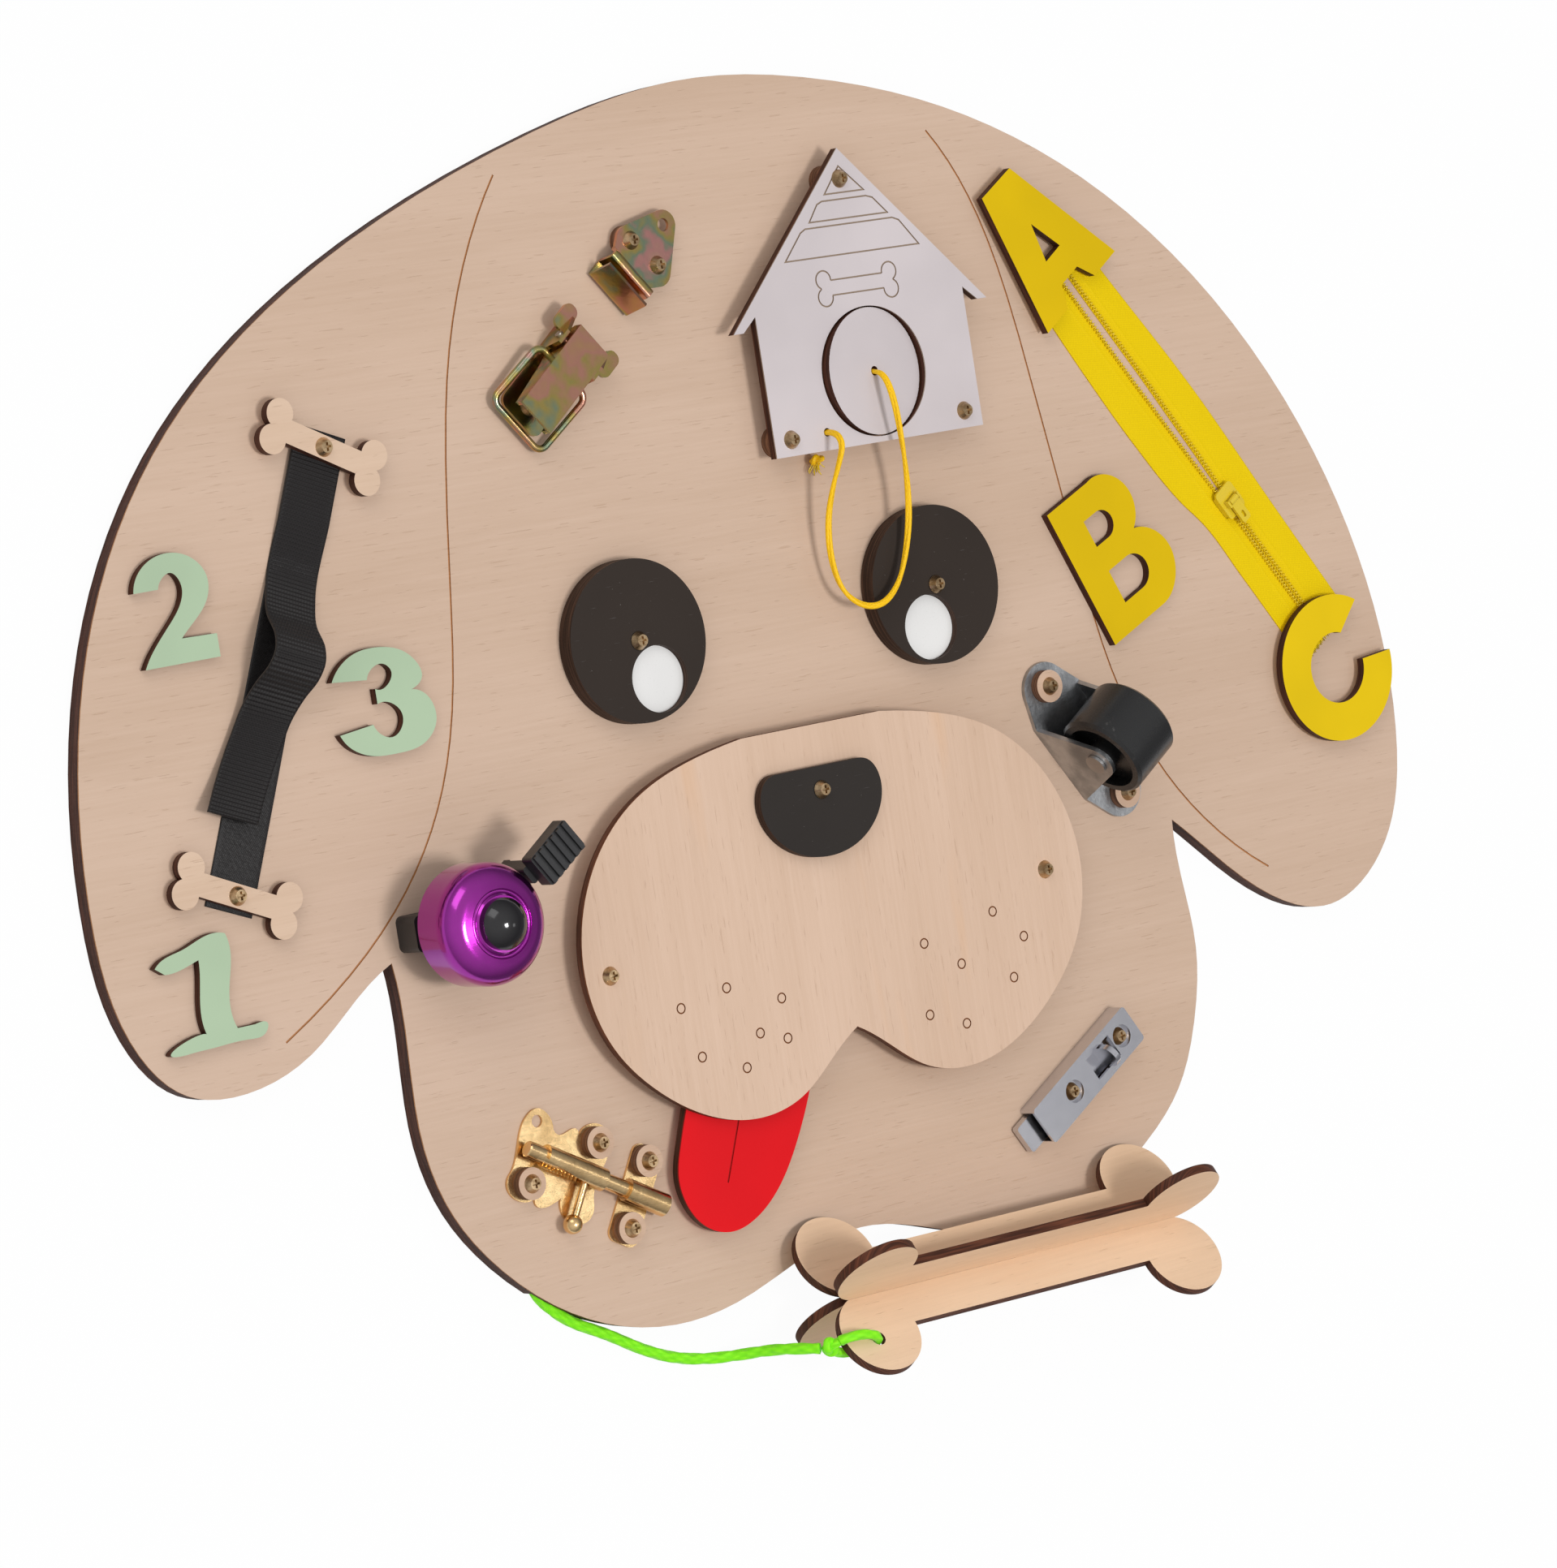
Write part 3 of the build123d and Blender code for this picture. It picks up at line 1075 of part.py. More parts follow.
with BuildPart() as latch_bail:
    bail_x, bail_y = spot(LATCH_C, LATCH_TURN, BAIL_PIVOT_U, 0)
    dip = radians(BAIL_DIP)
    bail_away = -LATCH_ALONG * cos(dip) - Vector(0, 0, 1) * sin(dip)
    bail_plane = Plane(
        origin=(bail_x, bail_y, BAIL_PIVOT_Z), x_dir=bail_away, z_dir=bail_away.cross(LATCH_ACROSS)
    )
    half = BAIL_W / 2 - BAIL_R
    with BuildLine(bail_plane) as bail_path:
        FilletPolyline((0, half), (BAIL_ARM, half), (BAIL_ARM, -half), (0, -half), radius=3, close=True)
    bail_wire = bail_path.wires()[0]
    with BuildSketch(Plane(origin=bail_wire @ 0, z_dir=bail_wire % 0)):
        Circle(BAIL_R)
    sweep()
save(latch_bail, "latch_bail")

KEEPER_MID = 1.5

with BuildPart() as latch_keeper:
    with BuildSketch(latch_seat(KEEPER_Z)):
        with Locations((52.4, 8), (52.8, -6), (65, 2.2)):
            Circle(4.6)
        with Locations((47.5, KEEPER_MID)):
            Rectangle(2, KEEPER_W - 1)
        make_hull()
        with Locations((65, 2.2)):
            Circle(2.0, mode=Mode.SUBTRACT)
        with Locations(*KEEPER_SCREW_SPOTS):
            Circle(HOLE_R, mode=Mode.SUBTRACT)
    extrude(amount=LATCH_SHEET)
    with BuildSketch(latch_side(KEEPER_MID + KEEPER_W / 2)):
        with BuildLine():
            FilletPolyline(
                (48.5, KEEPER_Z + 0.6), (46.6, KEEPER_Z + 0.6), (45, KEEPER_Z + 3.6), (43, KEEPER_Z + 3.6),
                (41.6, FACE + 0.9), (35.8, FACE + 0.9), (39.2, FACE + 9), radius=0.9,
            )
        trace(line_width=LATCH_SHEET)
    extrude(amount=KEEPER_W)
save(latch_keeper, "latch_keeper")

# ---- Fixed caster: x of its frame runs along the axle ----


def caster_seat(z, u=0.0, v=0.0):
    """A level plane in the caster's own frame."""
    return seat(*spot(CASTER_C, CASTER_TURN, u, v), z, CASTER_TURN)


AXLE_ALONG = Vector(cos(radians(CASTER_TURN)), sin(radians(CASTER_TURN)), 0)


def caster_section(u):
    """An upright plane across the axle at u: its X runs towards the upper screw, its Y is up."""
    x, y = spot(CASTER_C, CASTER_TURN, u, 0)
    return Plane(origin=(x, y, 0), x_dir=Vector(0, 0, 1).cross(AXLE_ALONG), z_dir=AXLE_ALONG)


ARM_OUT = CASTER_ARM + CASTER_SHEET / 2

with BuildPart() as caster_bracket:
    with BuildSketch(caster_seat(FACE)):
        Rectangle(2 * ARM_OUT, 30)
        with Locations((0, 21.5), (0, -21.5)):
            Circle(9)
        make_hull()
        with Locations((0, CASTER_HOLES / 2), (0, -CASTER_HOLES / 2)):
            Circle(HOLE_R, mode=Mode.SUBTRACT)
    extrude(amount=CASTER_SHEET)
    for start in (-ARM_OUT, CASTER_ARM - CASTER_SHEET / 2):
        with BuildSketch(caster_section(start)):
            with Locations((0, AXLE_Z)):
                Circle(6)
            with Locations((0, FACE + 0.5)):
                Rectangle(30, 1)
            make_hull()
            with Locations((0, AXLE_Z)):
                Circle(AXLE_R + FIT, mode=Mode.SUBTRACT)
        extrude(amount=CASTER_SHEET)
save(caster_bracket, "caster_bracket")

with BuildPart() as caster_axle:
    with BuildSketch(caster_section(-ARM_OUT - 0.1)):
        with Locations((0, AXLE_Z)):
            Circle(AXLE_R)
    extrude(amount=2 * ARM_OUT + 0.2)
    for start, length in ((-ARM_OUT - 1.1, 1.0), (ARM_OUT + 0.1, 1.0)):
        with BuildSketch(caster_section(start)):
            with Locations((0, AXLE_Z)):
                Circle(AXLE_R + 1)
        extrude(amount=length)
save(caster_axle, "caster_axle")

with BuildPart() as caster_wheel:
    with BuildSketch(caster_section(-WHEEL_W / 2)):
        with Locations((0, AXLE_Z)):
            Circle(WHEEL_R)
    extrude(amount=WHEEL_W)
    chamfer(caster_wheel.edges().filter_by(GeomType.CIRCLE), 1.0)
    for start in (-WHEEL_W / 2, WHEEL_W / 2 - 4):
        with BuildSketch(caster_section(start)):
            with Locations((0, AXLE_Z)):
                Circle(WHEEL_R - 3)
                Circle(AXLE_R + 2.4, mode=Mode.SUBTRACT)
        extrude(amount=4, mode=Mode.SUBTRACT)
    with BuildSketch(caster_section(-WHEEL_W)):
        with Locations((0, AXLE_Z)):
            Circle(AXLE_R + FIT)
    extrude(amount=2 * WHEEL_W, mode=Mode.SUBTRACT)
save(caster_wheel, "caster_wheel")

# ---- Toy bone ----

for bone_name, wing, face, slot_side in (
    ("toy_bone_a", WING_A, WING_B, 1),
    ("toy_bone_b", WING_B, -WING_A, -1),
):
    with BuildPart() as toy_bone:
        with BuildSketch(Plane(origin=BONE_ORIGIN, x_dir=BONE_ALONG, z_dir=face)):
            bone_face(BONE_REACH, BONE_SPREAD, BONE_LOBE_R, BONE_SHAFT)
            with Locations((slot_side * BONE_REACH, 0)):
                Rectangle(2 * BONE_REACH + 2 * FIT, PLY_T + 2 * FIT, mode=Mode.SUBTRACT)
            if bone_name == "toy_bone_b":
                with Locations((-BONE_HOLE_REACH, BONE_HOLE_SPREAD)):
                    Circle(BONE_HOLE_R, mode=Mode.SUBTRACT)
        extrude(amount=PLY_T / 2, both=True)
    save(toy_bone, bone_name)

cord_tube(TOY_CORD_ROUTE, CORD_R, "toy_cord")
cord_tube(TOY_LOOP_ROUTE, CORD_R, "toy_cord_loop")

with BuildPart() as toy_cord_knot:
    with Locations(TOY_KNOT):
        Sphere(TOY_KNOT_R)
save(toy_cord_knot, "toy_cord_knot")

with BuildPart() as toy_cord_stop:
    with BuildSketch(seat(*STOP_KNOT, 0.3)):
        Circle(STOP_KNOT_R)
    extrude(amount=CORD_CHANNEL_D - 0.5)
save(toy_cord_stop, "toy_cord_stop")

# ---- Screws ----

with BuildPart() as screws:
    for x, y, level in SCREWS:
        foot = FACE - SCREW_BITE + 0.1
        with BuildSketch(seat(x, y, foot)):
            Circle(SCREW_R)
        extrude(amount=level - foot)
        with BuildSketch(seat(x, y, level)):
            Circle(SCREW_HEAD_R)
        extrude(amount=SCREW_HEAD_T, taper=28)
        with BuildSketch(seat(x, y, level + SCREW_HEAD_T)):
            Rectangle(2.6, 0.7)
            Rectangle(0.7, 2.6)
        extrude(amount=-1.0, mode=Mode.SUBTRACT)
save(screws, "screws")
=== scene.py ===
# %% [markdown]
# # A wooden busy board in Blender
# The head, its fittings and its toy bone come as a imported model, already in place and to size.
# This lesson lights it, gives every piece a finish of its own, and remakes the soft things:
# the cords, the strap and the zip. The real board is laser-cut birch plywood, so most of the
# work is in thin burnt edges, quiet grain and small metal parts that catch the light.

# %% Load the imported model
import bpy
import numpy as np
from mathutils import Matrix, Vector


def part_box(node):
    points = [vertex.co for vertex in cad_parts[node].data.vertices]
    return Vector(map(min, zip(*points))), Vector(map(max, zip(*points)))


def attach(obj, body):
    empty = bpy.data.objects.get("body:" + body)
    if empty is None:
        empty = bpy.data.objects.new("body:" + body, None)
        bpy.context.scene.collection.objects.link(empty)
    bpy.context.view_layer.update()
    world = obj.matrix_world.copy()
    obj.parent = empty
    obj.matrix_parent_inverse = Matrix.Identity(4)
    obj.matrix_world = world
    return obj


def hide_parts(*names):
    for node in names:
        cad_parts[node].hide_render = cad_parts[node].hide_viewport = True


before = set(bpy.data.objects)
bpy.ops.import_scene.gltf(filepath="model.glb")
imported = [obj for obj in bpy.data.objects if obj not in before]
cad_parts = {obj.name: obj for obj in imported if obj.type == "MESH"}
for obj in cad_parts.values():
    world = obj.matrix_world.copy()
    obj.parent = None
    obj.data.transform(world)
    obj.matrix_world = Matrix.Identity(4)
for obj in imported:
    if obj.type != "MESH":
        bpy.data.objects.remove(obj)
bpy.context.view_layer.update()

MM = 0.001

# %% [markdown]
# ## The camera
# The board lies on its back and the camera looks down at it from above its left ear, through a
# long lens, so its far side shrinks only a little. A camera looks along its own -Z, so its
# matrix is built from three axes: right, up and back.

# %% The camera
CAMERA_PLACE = (-1.0723, 0.0922, 1.4537)
CAMERA_BACK = (-0.5922, 0.0686, 0.8029)
CAMERA_ROLL = -8.869
LONG_LENS = 134.2
FILM_WIDTH = 36


def camera_axes(back, roll_degrees):
    """Right, up and back: right is square to the world's Y, then it turns about the line of sight."""
    back = np.array(back) / np.linalg.norm(back)
    right = np.cross((0.0, 1.0, 0.0), back)
    right /= np.linalg.norm(right)
    up = np.cross(back, right)
    c, s = np.cos(np.radians(roll_degrees)), np.sin(np.radians(roll_degrees))
    return c * right + s * up, c * up - s * right, back


def standing(place, axes):
    """The matrix of something at a place whose own X, Y and Z point along three directions."""
    return Matrix.Translation(place) @ Matrix(np.array(axes).T.tolist()).to_4x4()


camera = bpy.data.objects.new("camera", bpy.data.cameras.new("camera"))
bpy.context.collection.objects.link(camera)
camera.matrix_world = standing(CAMERA_PLACE, camera_axes(CAMERA_BACK, CAMERA_ROLL))
camera.data.lens = LONG_LENS
camera.data.sensor_width = FILM_WIDTH
camera.data.clip_end = 20
bpy.context.scene.camera = camera
bpy.context.scene.view_settings.view_transform = "Standard"
print("camera at", tuple(round(x, 3) for x in camera.location))

# %% [markdown]
# ## Tubes along a line
# A cord is a round profile carried along its centre line. The line comes from a NURBS curve
# whose control points are the cord's route. The profile needs a frame at each step that doesn't
# twist, so each frame is the last one turned by the least that the new direction asks.

# %% Lines
def travelled(line):
    """The distance along a line at each of its points, in metres."""
    return np.r_[0, np.cumsum(np.linalg.norm(np.diff(line, axis=0), axis=1))]


def smooth_line(route_mm, spacing_mm=0.35):
    """Evenly spaced points along a NURBS curve of order 3 whose control points are the route."""
    curve = bpy.data.curves.new("line", "CURVE")
    curve.dimensions = "3D"
    curve.resolution_u = 24
    spline = curve.splines.new("NURBS")
    spline.points.add(len(route_mm) - 1)
    spline.points.foreach_set("co", np.c_[np.array(route_mm) * MM, np.ones(len(route_mm))].ravel())
    spline.order_u = 3
    spline.use_endpoint_u = True
    holder = bpy.data.objects.new("line", curve)
    bpy.context.collection.objects.link(holder)
    mesh = bpy.data.meshes.new_from_object(holder)
    line = np.empty(len(mesh.vertices) * 3)
    mesh.vertices.foreach_get("co", line)
    line = line.reshape(-1, 3)
    bpy.data.objects.remove(holder)
    bpy.data.meshes.remove(mesh)
    distance = travelled(line)
    even = np.linspace(0, distance[-1], max(8, int(distance[-1] / (spacing_mm * MM))))
    return np.stack([np.interp(even, distance, line[:, axis]) for axis in range(3)], axis=1)


def untwisted(line):
    """Side and lift vectors along a line: each is the last one with the new direction taken out."""
    ahead = np.gradient(line, axis=0)
    ahead /= np.linalg.norm(ahead, axis=1, keepdims=True)
    side = np.cross(ahead[0], (0.3, 0.5, 0.81))
    sides = []
    for direction in ahead:
        side = side - direction * side.dot(direction)
        side = side / np.linalg.norm(side)
        sides.append(side)
    sides = np.array(sides)
    return sides, np.cross(ahead, sides)


print("distances along a line of three points", travelled(np.array([(0, 0, 0), (0, 3, 4), (0, 3, 5)])))

# %% Tubes
def add_piece(name, vertices, faces, body, uv=None):
    """A mesh object of quads and end caps that rides on a body, smooth and in its place."""
    mesh = bpy.data.meshes.new(name)
    mesh.from_pydata(vertices.reshape(-1, 3).tolist(), [], faces)
    mesh.validate()
    mesh.shade_smooth()
    if uv is not None:
        layer = mesh.uv_layers.new(name="along")
        corners = np.empty(len(mesh.loops), dtype=np.int64)
        mesh.loops.foreach_get("vertex_index", corners)
        layer.data.foreach_set("uv", uv.reshape(-1, 2)[corners].ravel())
    piece = bpy.data.objects.new(name, mesh)
    bpy.context.collection.objects.link(piece)
    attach(piece, body)
    return piece


def ring_faces(rings, sides):
    """Quads between neighbouring rings of a closed profile, with a cap at each end."""
    ring, side = np.meshgrid(np.arange(rings - 1), np.arange(sides), indexing="ij")
    a = ring * sides + side
    b = ring * sides + (side + 1) % sides
    quads = np.stack([a, b, b + sides, a + sides], axis=-1).reshape(-1, 4).tolist()
    return quads + [list(range(sides))[::-1], list(range((rings - 1) * sides, rings * sides))]


def rings_round(line, side, lift, reach, sides):
    """A ring of points round each point of a line: the point plus reach in each direction round it."""
    angle = np.linspace(0, 2 * np.pi, sides, endpoint=False)[None, :, None]
    return line[:, None] + reach * (np.cos(angle) * side[:, None] + np.sin(angle) * lift[:, None])


def tube(name, line, radius, body, sides):
    """A profile carried along a line. radius(angle, distance) gives it as whole arrays, in metres."""
    side, lift = untwisted(line)
    angles, distance = np.meshgrid(np.linspace(0, 2 * np.pi, sides, endpoint=False), travelled(line))
    spots = rings_round(line, side, lift, radius(angles, distance)[..., None], sides)
    uv = np.stack([angles / (2 * np.pi), distance * 100], axis=-1)
    return add_piece(name, spots, ring_faces(len(line), sides), body, uv)


print("faces between two rings of four", ring_faces(2, 4))

# %% [markdown]
# ## The bright green cord of the toy bone
# It is a soft braid, glued into a channel in the back of the head, and it ends in a loop that is
# tied through the bone. A braid is two sets of strands that wind opposite ways, so the radius
# rises wherever a strand of either set lies on top.

# %% Green cord and its knot
KNOT_POINTS = 220


def braid(radius_mm, lay_mm):
    """Two sets of four strands wind opposite ways, and the higher one shows at each point."""
    def radius(angle, distance):
        turn = 2 * np.pi * distance / (lay_mm * MM)
        over = np.maximum(np.cos(4 * angle + turn), np.cos(4 * angle - turn))
        return radius_mm * MM * (0.9 + 0.1 * over)
    return radius


def trefoil(centre_mm, size_mm, tilt):
    """A three-lobed knot: x = sin t + 2 sin 2t, y = cos t - 2 cos 2t, z = -sin 3t, then tilted."""
    t = np.linspace(0, 2 * np.pi, KNOT_POINTS)
    knot = np.stack([np.sin(t) + 2 * np.sin(2 * t), np.cos(t) - 2 * np.cos(2 * t), -np.sin(3 * t)], axis=1)
    c, s = np.cos(tilt), np.sin(tilt)
    knot = knot @ np.array([[1, 0, 0], [0, c, s], [0, -s, c]]) * size_mm / 3
    return (np.array(centre_mm) + knot) * MM


def box_middle(node):
    """The middle of a node's box, in millimetres."""
    low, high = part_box(node)
    return (np.array(low) + np.array(high)) / 2 / MM


toy_knot_at = box_middle("toy_cord_knot")
TOY_ROUTE = [
    (-122, -148, 2), (-124, -158, 2), (-119.5, -168.5, 2), (-110, -177.5, 2), (-97.3, -183.9, 2),
    (-85.5, -191.4, 2), (-75, -196.4, 2), (-64.5, -199.3, 2), (-55.5, -200.3, 5.5), (-48.8, -199.7, 14),
    (-45.3, -199.4, 23.5), tuple(toy_knot_at + np.array((-3.4, 0, -1.4))),
]
toy_line = smooth_line(TOY_ROUTE)
toy_cord = tube("toy_cord_braid", toy_line, braid(1.8, 9.0), "board_body", 32)
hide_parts("toy_cord")
toy_knot_line = trefoil(toy_knot_at, 2.55, 0.7)
toy_knot = tube("toy_knot_braid", toy_knot_line, braid(1.3, 7.0), "board_body", 24)
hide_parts("toy_cord_knot")
print("green cord", round(float(travelled(toy_line)[-1]), 4), "m")

# %% The loop through the bone
BOARD_THICK, PLY_THICK = 6.0, 3.0
BONE_TURN, BONE_TIP = -1.0, 28.2
LOOP_MIDDLE, LOOP_SWING, LOOP_HALF_WIDTH = 8.6, 7.8, 4.9
LOOP_LENGTH, LOOP_CLIMB = 16.4, 2.0


def bone_frame():
    """Directions along the bone, up its holed plate and out of that plate.

    One plate's tips stand on the table and the other's on the board, which is 6 mm higher, so the
    lean is 45 degrees plus the arc sine of that step over the distance between the tips.
    """
    turn = np.radians(BONE_TURN)
    lean = np.radians(45) + np.arcsin(BOARD_THICK / (np.sqrt(2) * (BONE_TIP - PLY_THICK / 2)))
    along = np.array((np.cos(turn), np.sin(turn), 0))
    side = np.cross((0, 0, 1), along)
    out = side * np.cos(lean) + np.array((0, 0, 1)) * np.sin(lean)
    plate = np.array((0, 0, 1)) * np.cos(lean) - side * np.sin(lean)
    return along, plate, out


bone_along, bone_plate, bone_out = bone_frame()
loop_angle = np.linspace(-2.6, 2.6, 110)
loop_reach = LOOP_MIDDLE + LOOP_SWING * np.cos(loop_angle)
loop_line = (
    toy_knot_at + bone_along * loop_reach[:, None]
    + bone_plate * (LOOP_CLIMB * loop_reach / LOOP_LENGTH)[:, None]
    + bone_out * (LOOP_HALF_WIDTH * np.sin(loop_angle))[:, None]
) * MM
toy_loop = tube("toy_loop_braid", loop_line, braid(1.6, 8.0), "board_body", 24)
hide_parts("toy_cord_loop")
print("loop", round(float(travelled(loop_line)[-1]), 4), "m")

# %% [markdown]
# ## The yellow string of the door
# It comes out of the middle of the door, hangs over the right eye and goes back through the
# house. It is two thin shiny strands side by side, so its section is a figure of eight that
# turns slowly along the string.

# %% Yellow string and its two knots
DOOR_ROUTE = [
    (50, 89.6, 11.4), (50, 89.6, 15.5), (50.2, 88, 19.2), (50.5, 83.5, 21.2), (51.2, 76.5, 21.6),
    (52, 69.5, 20.9), (53.4, 61.5, 19.2), (54.2, 52.5, 17.6), (53.3, 42, 16.8), (50.2, 31.5, 16.4),
    (45.7, 22.8, 16.4), (38.6, 17.4, 16.5), (31.2, 18, 15.4), (25.2, 23.8, 14), (23, 34, 13.6),
    (23.2, 46, 14.8), (25, 56, 17.6), (26.6, 63.4, 20.8), (27.7, 68.4, 22.4), (28.1, 71.7, 20.6),
    (28.2, 73.1, 16.6), (28.2, 73.12, 11.4), (28.2, 73.1, 7),
]


def two_strands(radius_mm, lay_mm):
    """A figure of eight: wide along one diameter, narrow across it, and turning along the string."""
    def radius(angle, distance):
        turn = np.pi * distance / (lay_mm * MM)
        return radius_mm * MM * (0.46 + 0.54 * np.abs(np.cos(angle - turn)) ** 0.7)
    return radius


door_line = smooth_line(DOOR_ROUTE, 0.3)
door_string = tube("door_string", door_line, two_strands(1.05, 38.0), "door", 28)
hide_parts("door_cord")
door_knot_line = trefoil(box_middle("door_knot"), 1.9, 0.4)
door_knot = tube("door_string_knot", door_knot_line, braid(0.75, 5.0), "door", 14)
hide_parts("door_knot")
house_knot_at = box_middle("house_knot")
house_knot_line = trefoil(house_knot_at, 1.9, 1.1)
house_braid = braid(0.8, 5.0)
house_knot = tube("house_string_knot", house_knot_line, house_braid, "board_body", 14)
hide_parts("house_knot")
print("yellow string", round(float(travelled(door_line)[-1]), 4), "m")

# %% Frayed ends under the house
STRANDS, STRAND_RINGS, STRAND_SIDES, STRAND_RADIUS = 16, 9, 6, 0.16
chance = np.random.default_rng(7)
share = np.linspace(0, 1, STRAND_RINGS)[:, None]
tuft_vertices, tuft_faces = [], []
for number in range(STRANDS):
    heading = np.radians(chance.uniform(215, 300))
    reach = chance.uniform(2.6, 4.6)
    start = house_knot_at + chance.normal(0, 0.5, 3)
    bend = start + np.array((np.cos(heading), np.sin(heading), 0.1)) * reach * 0.6
    swerve, rise = heading + 0.3, chance.uniform(-0.45, 0.1)
    end = start + np.array((np.cos(swerve), np.sin(swerve), rise)) * reach
    line = ((1 - share) ** 2 * start + 2 * share * (1 - share) * bend + share**2 * end) * MM
    rings = rings_round(line, *untwisted(line), STRAND_RADIUS * MM, STRAND_SIDES)
    offset = number * STRAND_RINGS * STRAND_SIDES
    tuft_vertices.append(rings.reshape(-1, 3))
    tuft_faces += [[corner + offset for corner in face] for face in ring_faces(STRAND_RINGS, STRAND_SIDES)]
tuft_vertices = np.concatenate(tuft_vertices)
tuft = add_piece("house_string_tuft", tuft_vertices, tuft_faces, "board_body")
print("tuft corners", len(tuft_vertices))

# %% [markdown]
# ## Flat woven things
# The strap and the zip's tapes are thin slabs: a top surface and a bottom surface over the same
# grid, joined round the edge. The weave is real relief on the top, a fraction of a millimetre
# high, so that raking light finds it.

# %% A slab between two surfaces
def slab_faces(rows, columns):
    """Quads of the top, of the bottom turned over, and of the strip round the edge."""
    row, column = np.meshgrid(np.arange(rows - 1), np.arange(columns - 1), indexing="ij")
    a = (row * columns + column).ravel()
    top = np.stack([a, a + columns, a + columns + 1, a + 1], axis=1)
    under = top[:, ::-1] + rows * columns
    edge = np.r_[
        np.arange(columns), np.arange(2, rows + 1) * columns - 1,
        np.arange(columns - 2, -1, -1) + (rows - 1) * columns, np.arange(rows - 2, 0, -1) * columns,
    ]
    following = np.roll(edge, -1)
    strip = np.stack([edge, following, following + rows * columns, edge + rows * columns], axis=1)
    return np.concatenate([top, under, strip]).tolist()


def slab(name, top, under, body, uv):
    """A closed slab from two grids of points of the same shape, in metres."""
    rows, columns = top.shape[:2]
    vertices = np.concatenate([top.reshape(-1, 3), under.reshape(-1, 3)])
    both = np.concatenate([uv.reshape(-1, 2)] * 2)
    return add_piece(name, vertices, slab_faces(rows, columns), body, both)


def cloth_map(down, across):
    """A cloth's map: the distance down it and the distance across it, in centimetres."""
    return np.stack([down * 0.1, across * 0.1], axis=-1)


print("faces of the smallest slab", slab_faces(2, 2))


# %% The strap
STRAP_TOP, STRAP_BOTTOM = np.array((-152, 92.5)), np.array((-204.5, -31))
strap_down = (STRAP_BOTTOM - STRAP_TOP) / np.linalg.norm(STRAP_BOTTOM - STRAP_TOP)
strap_side = np.array((-strap_down[1], strap_down[0]))


def strap_points(distance, across, height):
    """World points from the distance down the strap, the distance across it and the height."""
    flat = STRAP_TOP + distance[..., None] * strap_down + across[..., None] * strap_side
    return np.concatenate([flat, height[..., None]], axis=-1) * MM


def smooth_through(s, knots):
    """A curve through given points: a cubic Hermite curve whose slopes are those of its neighbours."""
    x, y = np.array(knots, dtype=float).T
    slope = np.gradient(y, x)
    i = np.clip(np.searchsorted(x, s) - 1, 0, len(x) - 2)
    h = x[i + 1] - x[i]
    t = np.clip((s - x[i]) / h, 0, 1)
    return (
        (2 * t**3 - 3 * t**2 + 1) * y[i] + (t**3 - 2 * t**2 + t) * h * slope[i]
        + (3 * t**2 - 2 * t**3) * y[i + 1] + (t**3 - t**2) * h * slope[i + 1]
    )


print("strap from bone to bone", round(float(np.linalg.norm(STRAP_BOTTOM - STRAP_TOP)), 1), "mm")

# %% The ribbed strap, which rises in a wave
STRAP_RISE = [
    (-5, 0), (20, 0), (44, 0.1), (52, 3.5), (59, 10.6), (64, 12.2), (68, 10.4),
    (73, 5.2), (79, 1.6), (88, 0.5), (98, 0.8), (106, 2.1), (113, 4),
]
STRAP_HALF, STRAP_LEVEL, STRAP_SKIN, RIB_FOOT = 8.5, 7.5, 0.45, 0.38
RIB_HEIGHT, RIB_PITCH, STRAP_STEP = 0.24, 1.25, 0.25
down, across = np.meshgrid(
    np.arange(-5, 113.01, STRAP_STEP), np.linspace(-STRAP_HALF, STRAP_HALF, 25), indexing="ij",
)
hem = np.clip((STRAP_HALF - np.abs(across)) / 0.8, 0, 1)
rib = RIB_HEIGHT * np.cos(2 * np.pi * down / RIB_PITCH) * hem
curl = 0.25 * (across / STRAP_HALF) ** 2 * np.clip((down - 46) / 30, 0, 1)
rise = smooth_through(down, STRAP_RISE)
slope = np.gradient(rise, axis=0) / STRAP_STEP
lean = 1 / np.sqrt(1 + slope**2)
drift = -7.5 * np.clip((down - 70) / 43, 0, 1) ** 1.3
level = STRAP_LEVEL + rise + curl
top = strap_points(
    down - slope * lean * (STRAP_SKIN + rib), across + drift, level + lean * (RIB_FOOT + rib),
)
under = strap_points(down + slope * lean * STRAP_SKIN, across + drift, level - lean * STRAP_SKIN)
strap_map = cloth_map(down, across)
strap_loop = slab("strap_ribbed", top, under, "board_body", strap_map)
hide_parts("strap_loop")
print("strap grid", top.shape)

# %% The strip of hooks under it
HOOK_HALF, HOOK_TOP, HOOK_UNDER, HOOK_HEIGHT = 8, 6.5, 6.05, 0.45
down, across = np.meshgrid(
    np.arange(-5, 139.3, 0.4), np.linspace(-HOOK_HALF, HOOK_HALF, 41), indexing="ij",
)
wander_down, wander_across = 1.7 * np.sin(across * 2.3), 1.3 * np.sin(down * 1.9)
nap = np.abs(np.sin(down * 3.1 + wander_down) * np.sin(across * 4.1 + wander_across))
hem = np.clip((HOOK_HALF - np.abs(across)) / 1.2, 0, 1)
top = strap_points(down, across, HOOK_TOP + HOOK_HEIGHT * nap * hem)
under = strap_points(down, across, np.full_like(down, HOOK_UNDER))
hook_map = cloth_map(down, across)
strap_hook = slab("strap_hooks", top, under, "board_body", hook_map)
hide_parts("strap_hook")
print("hook grid", top.shape)

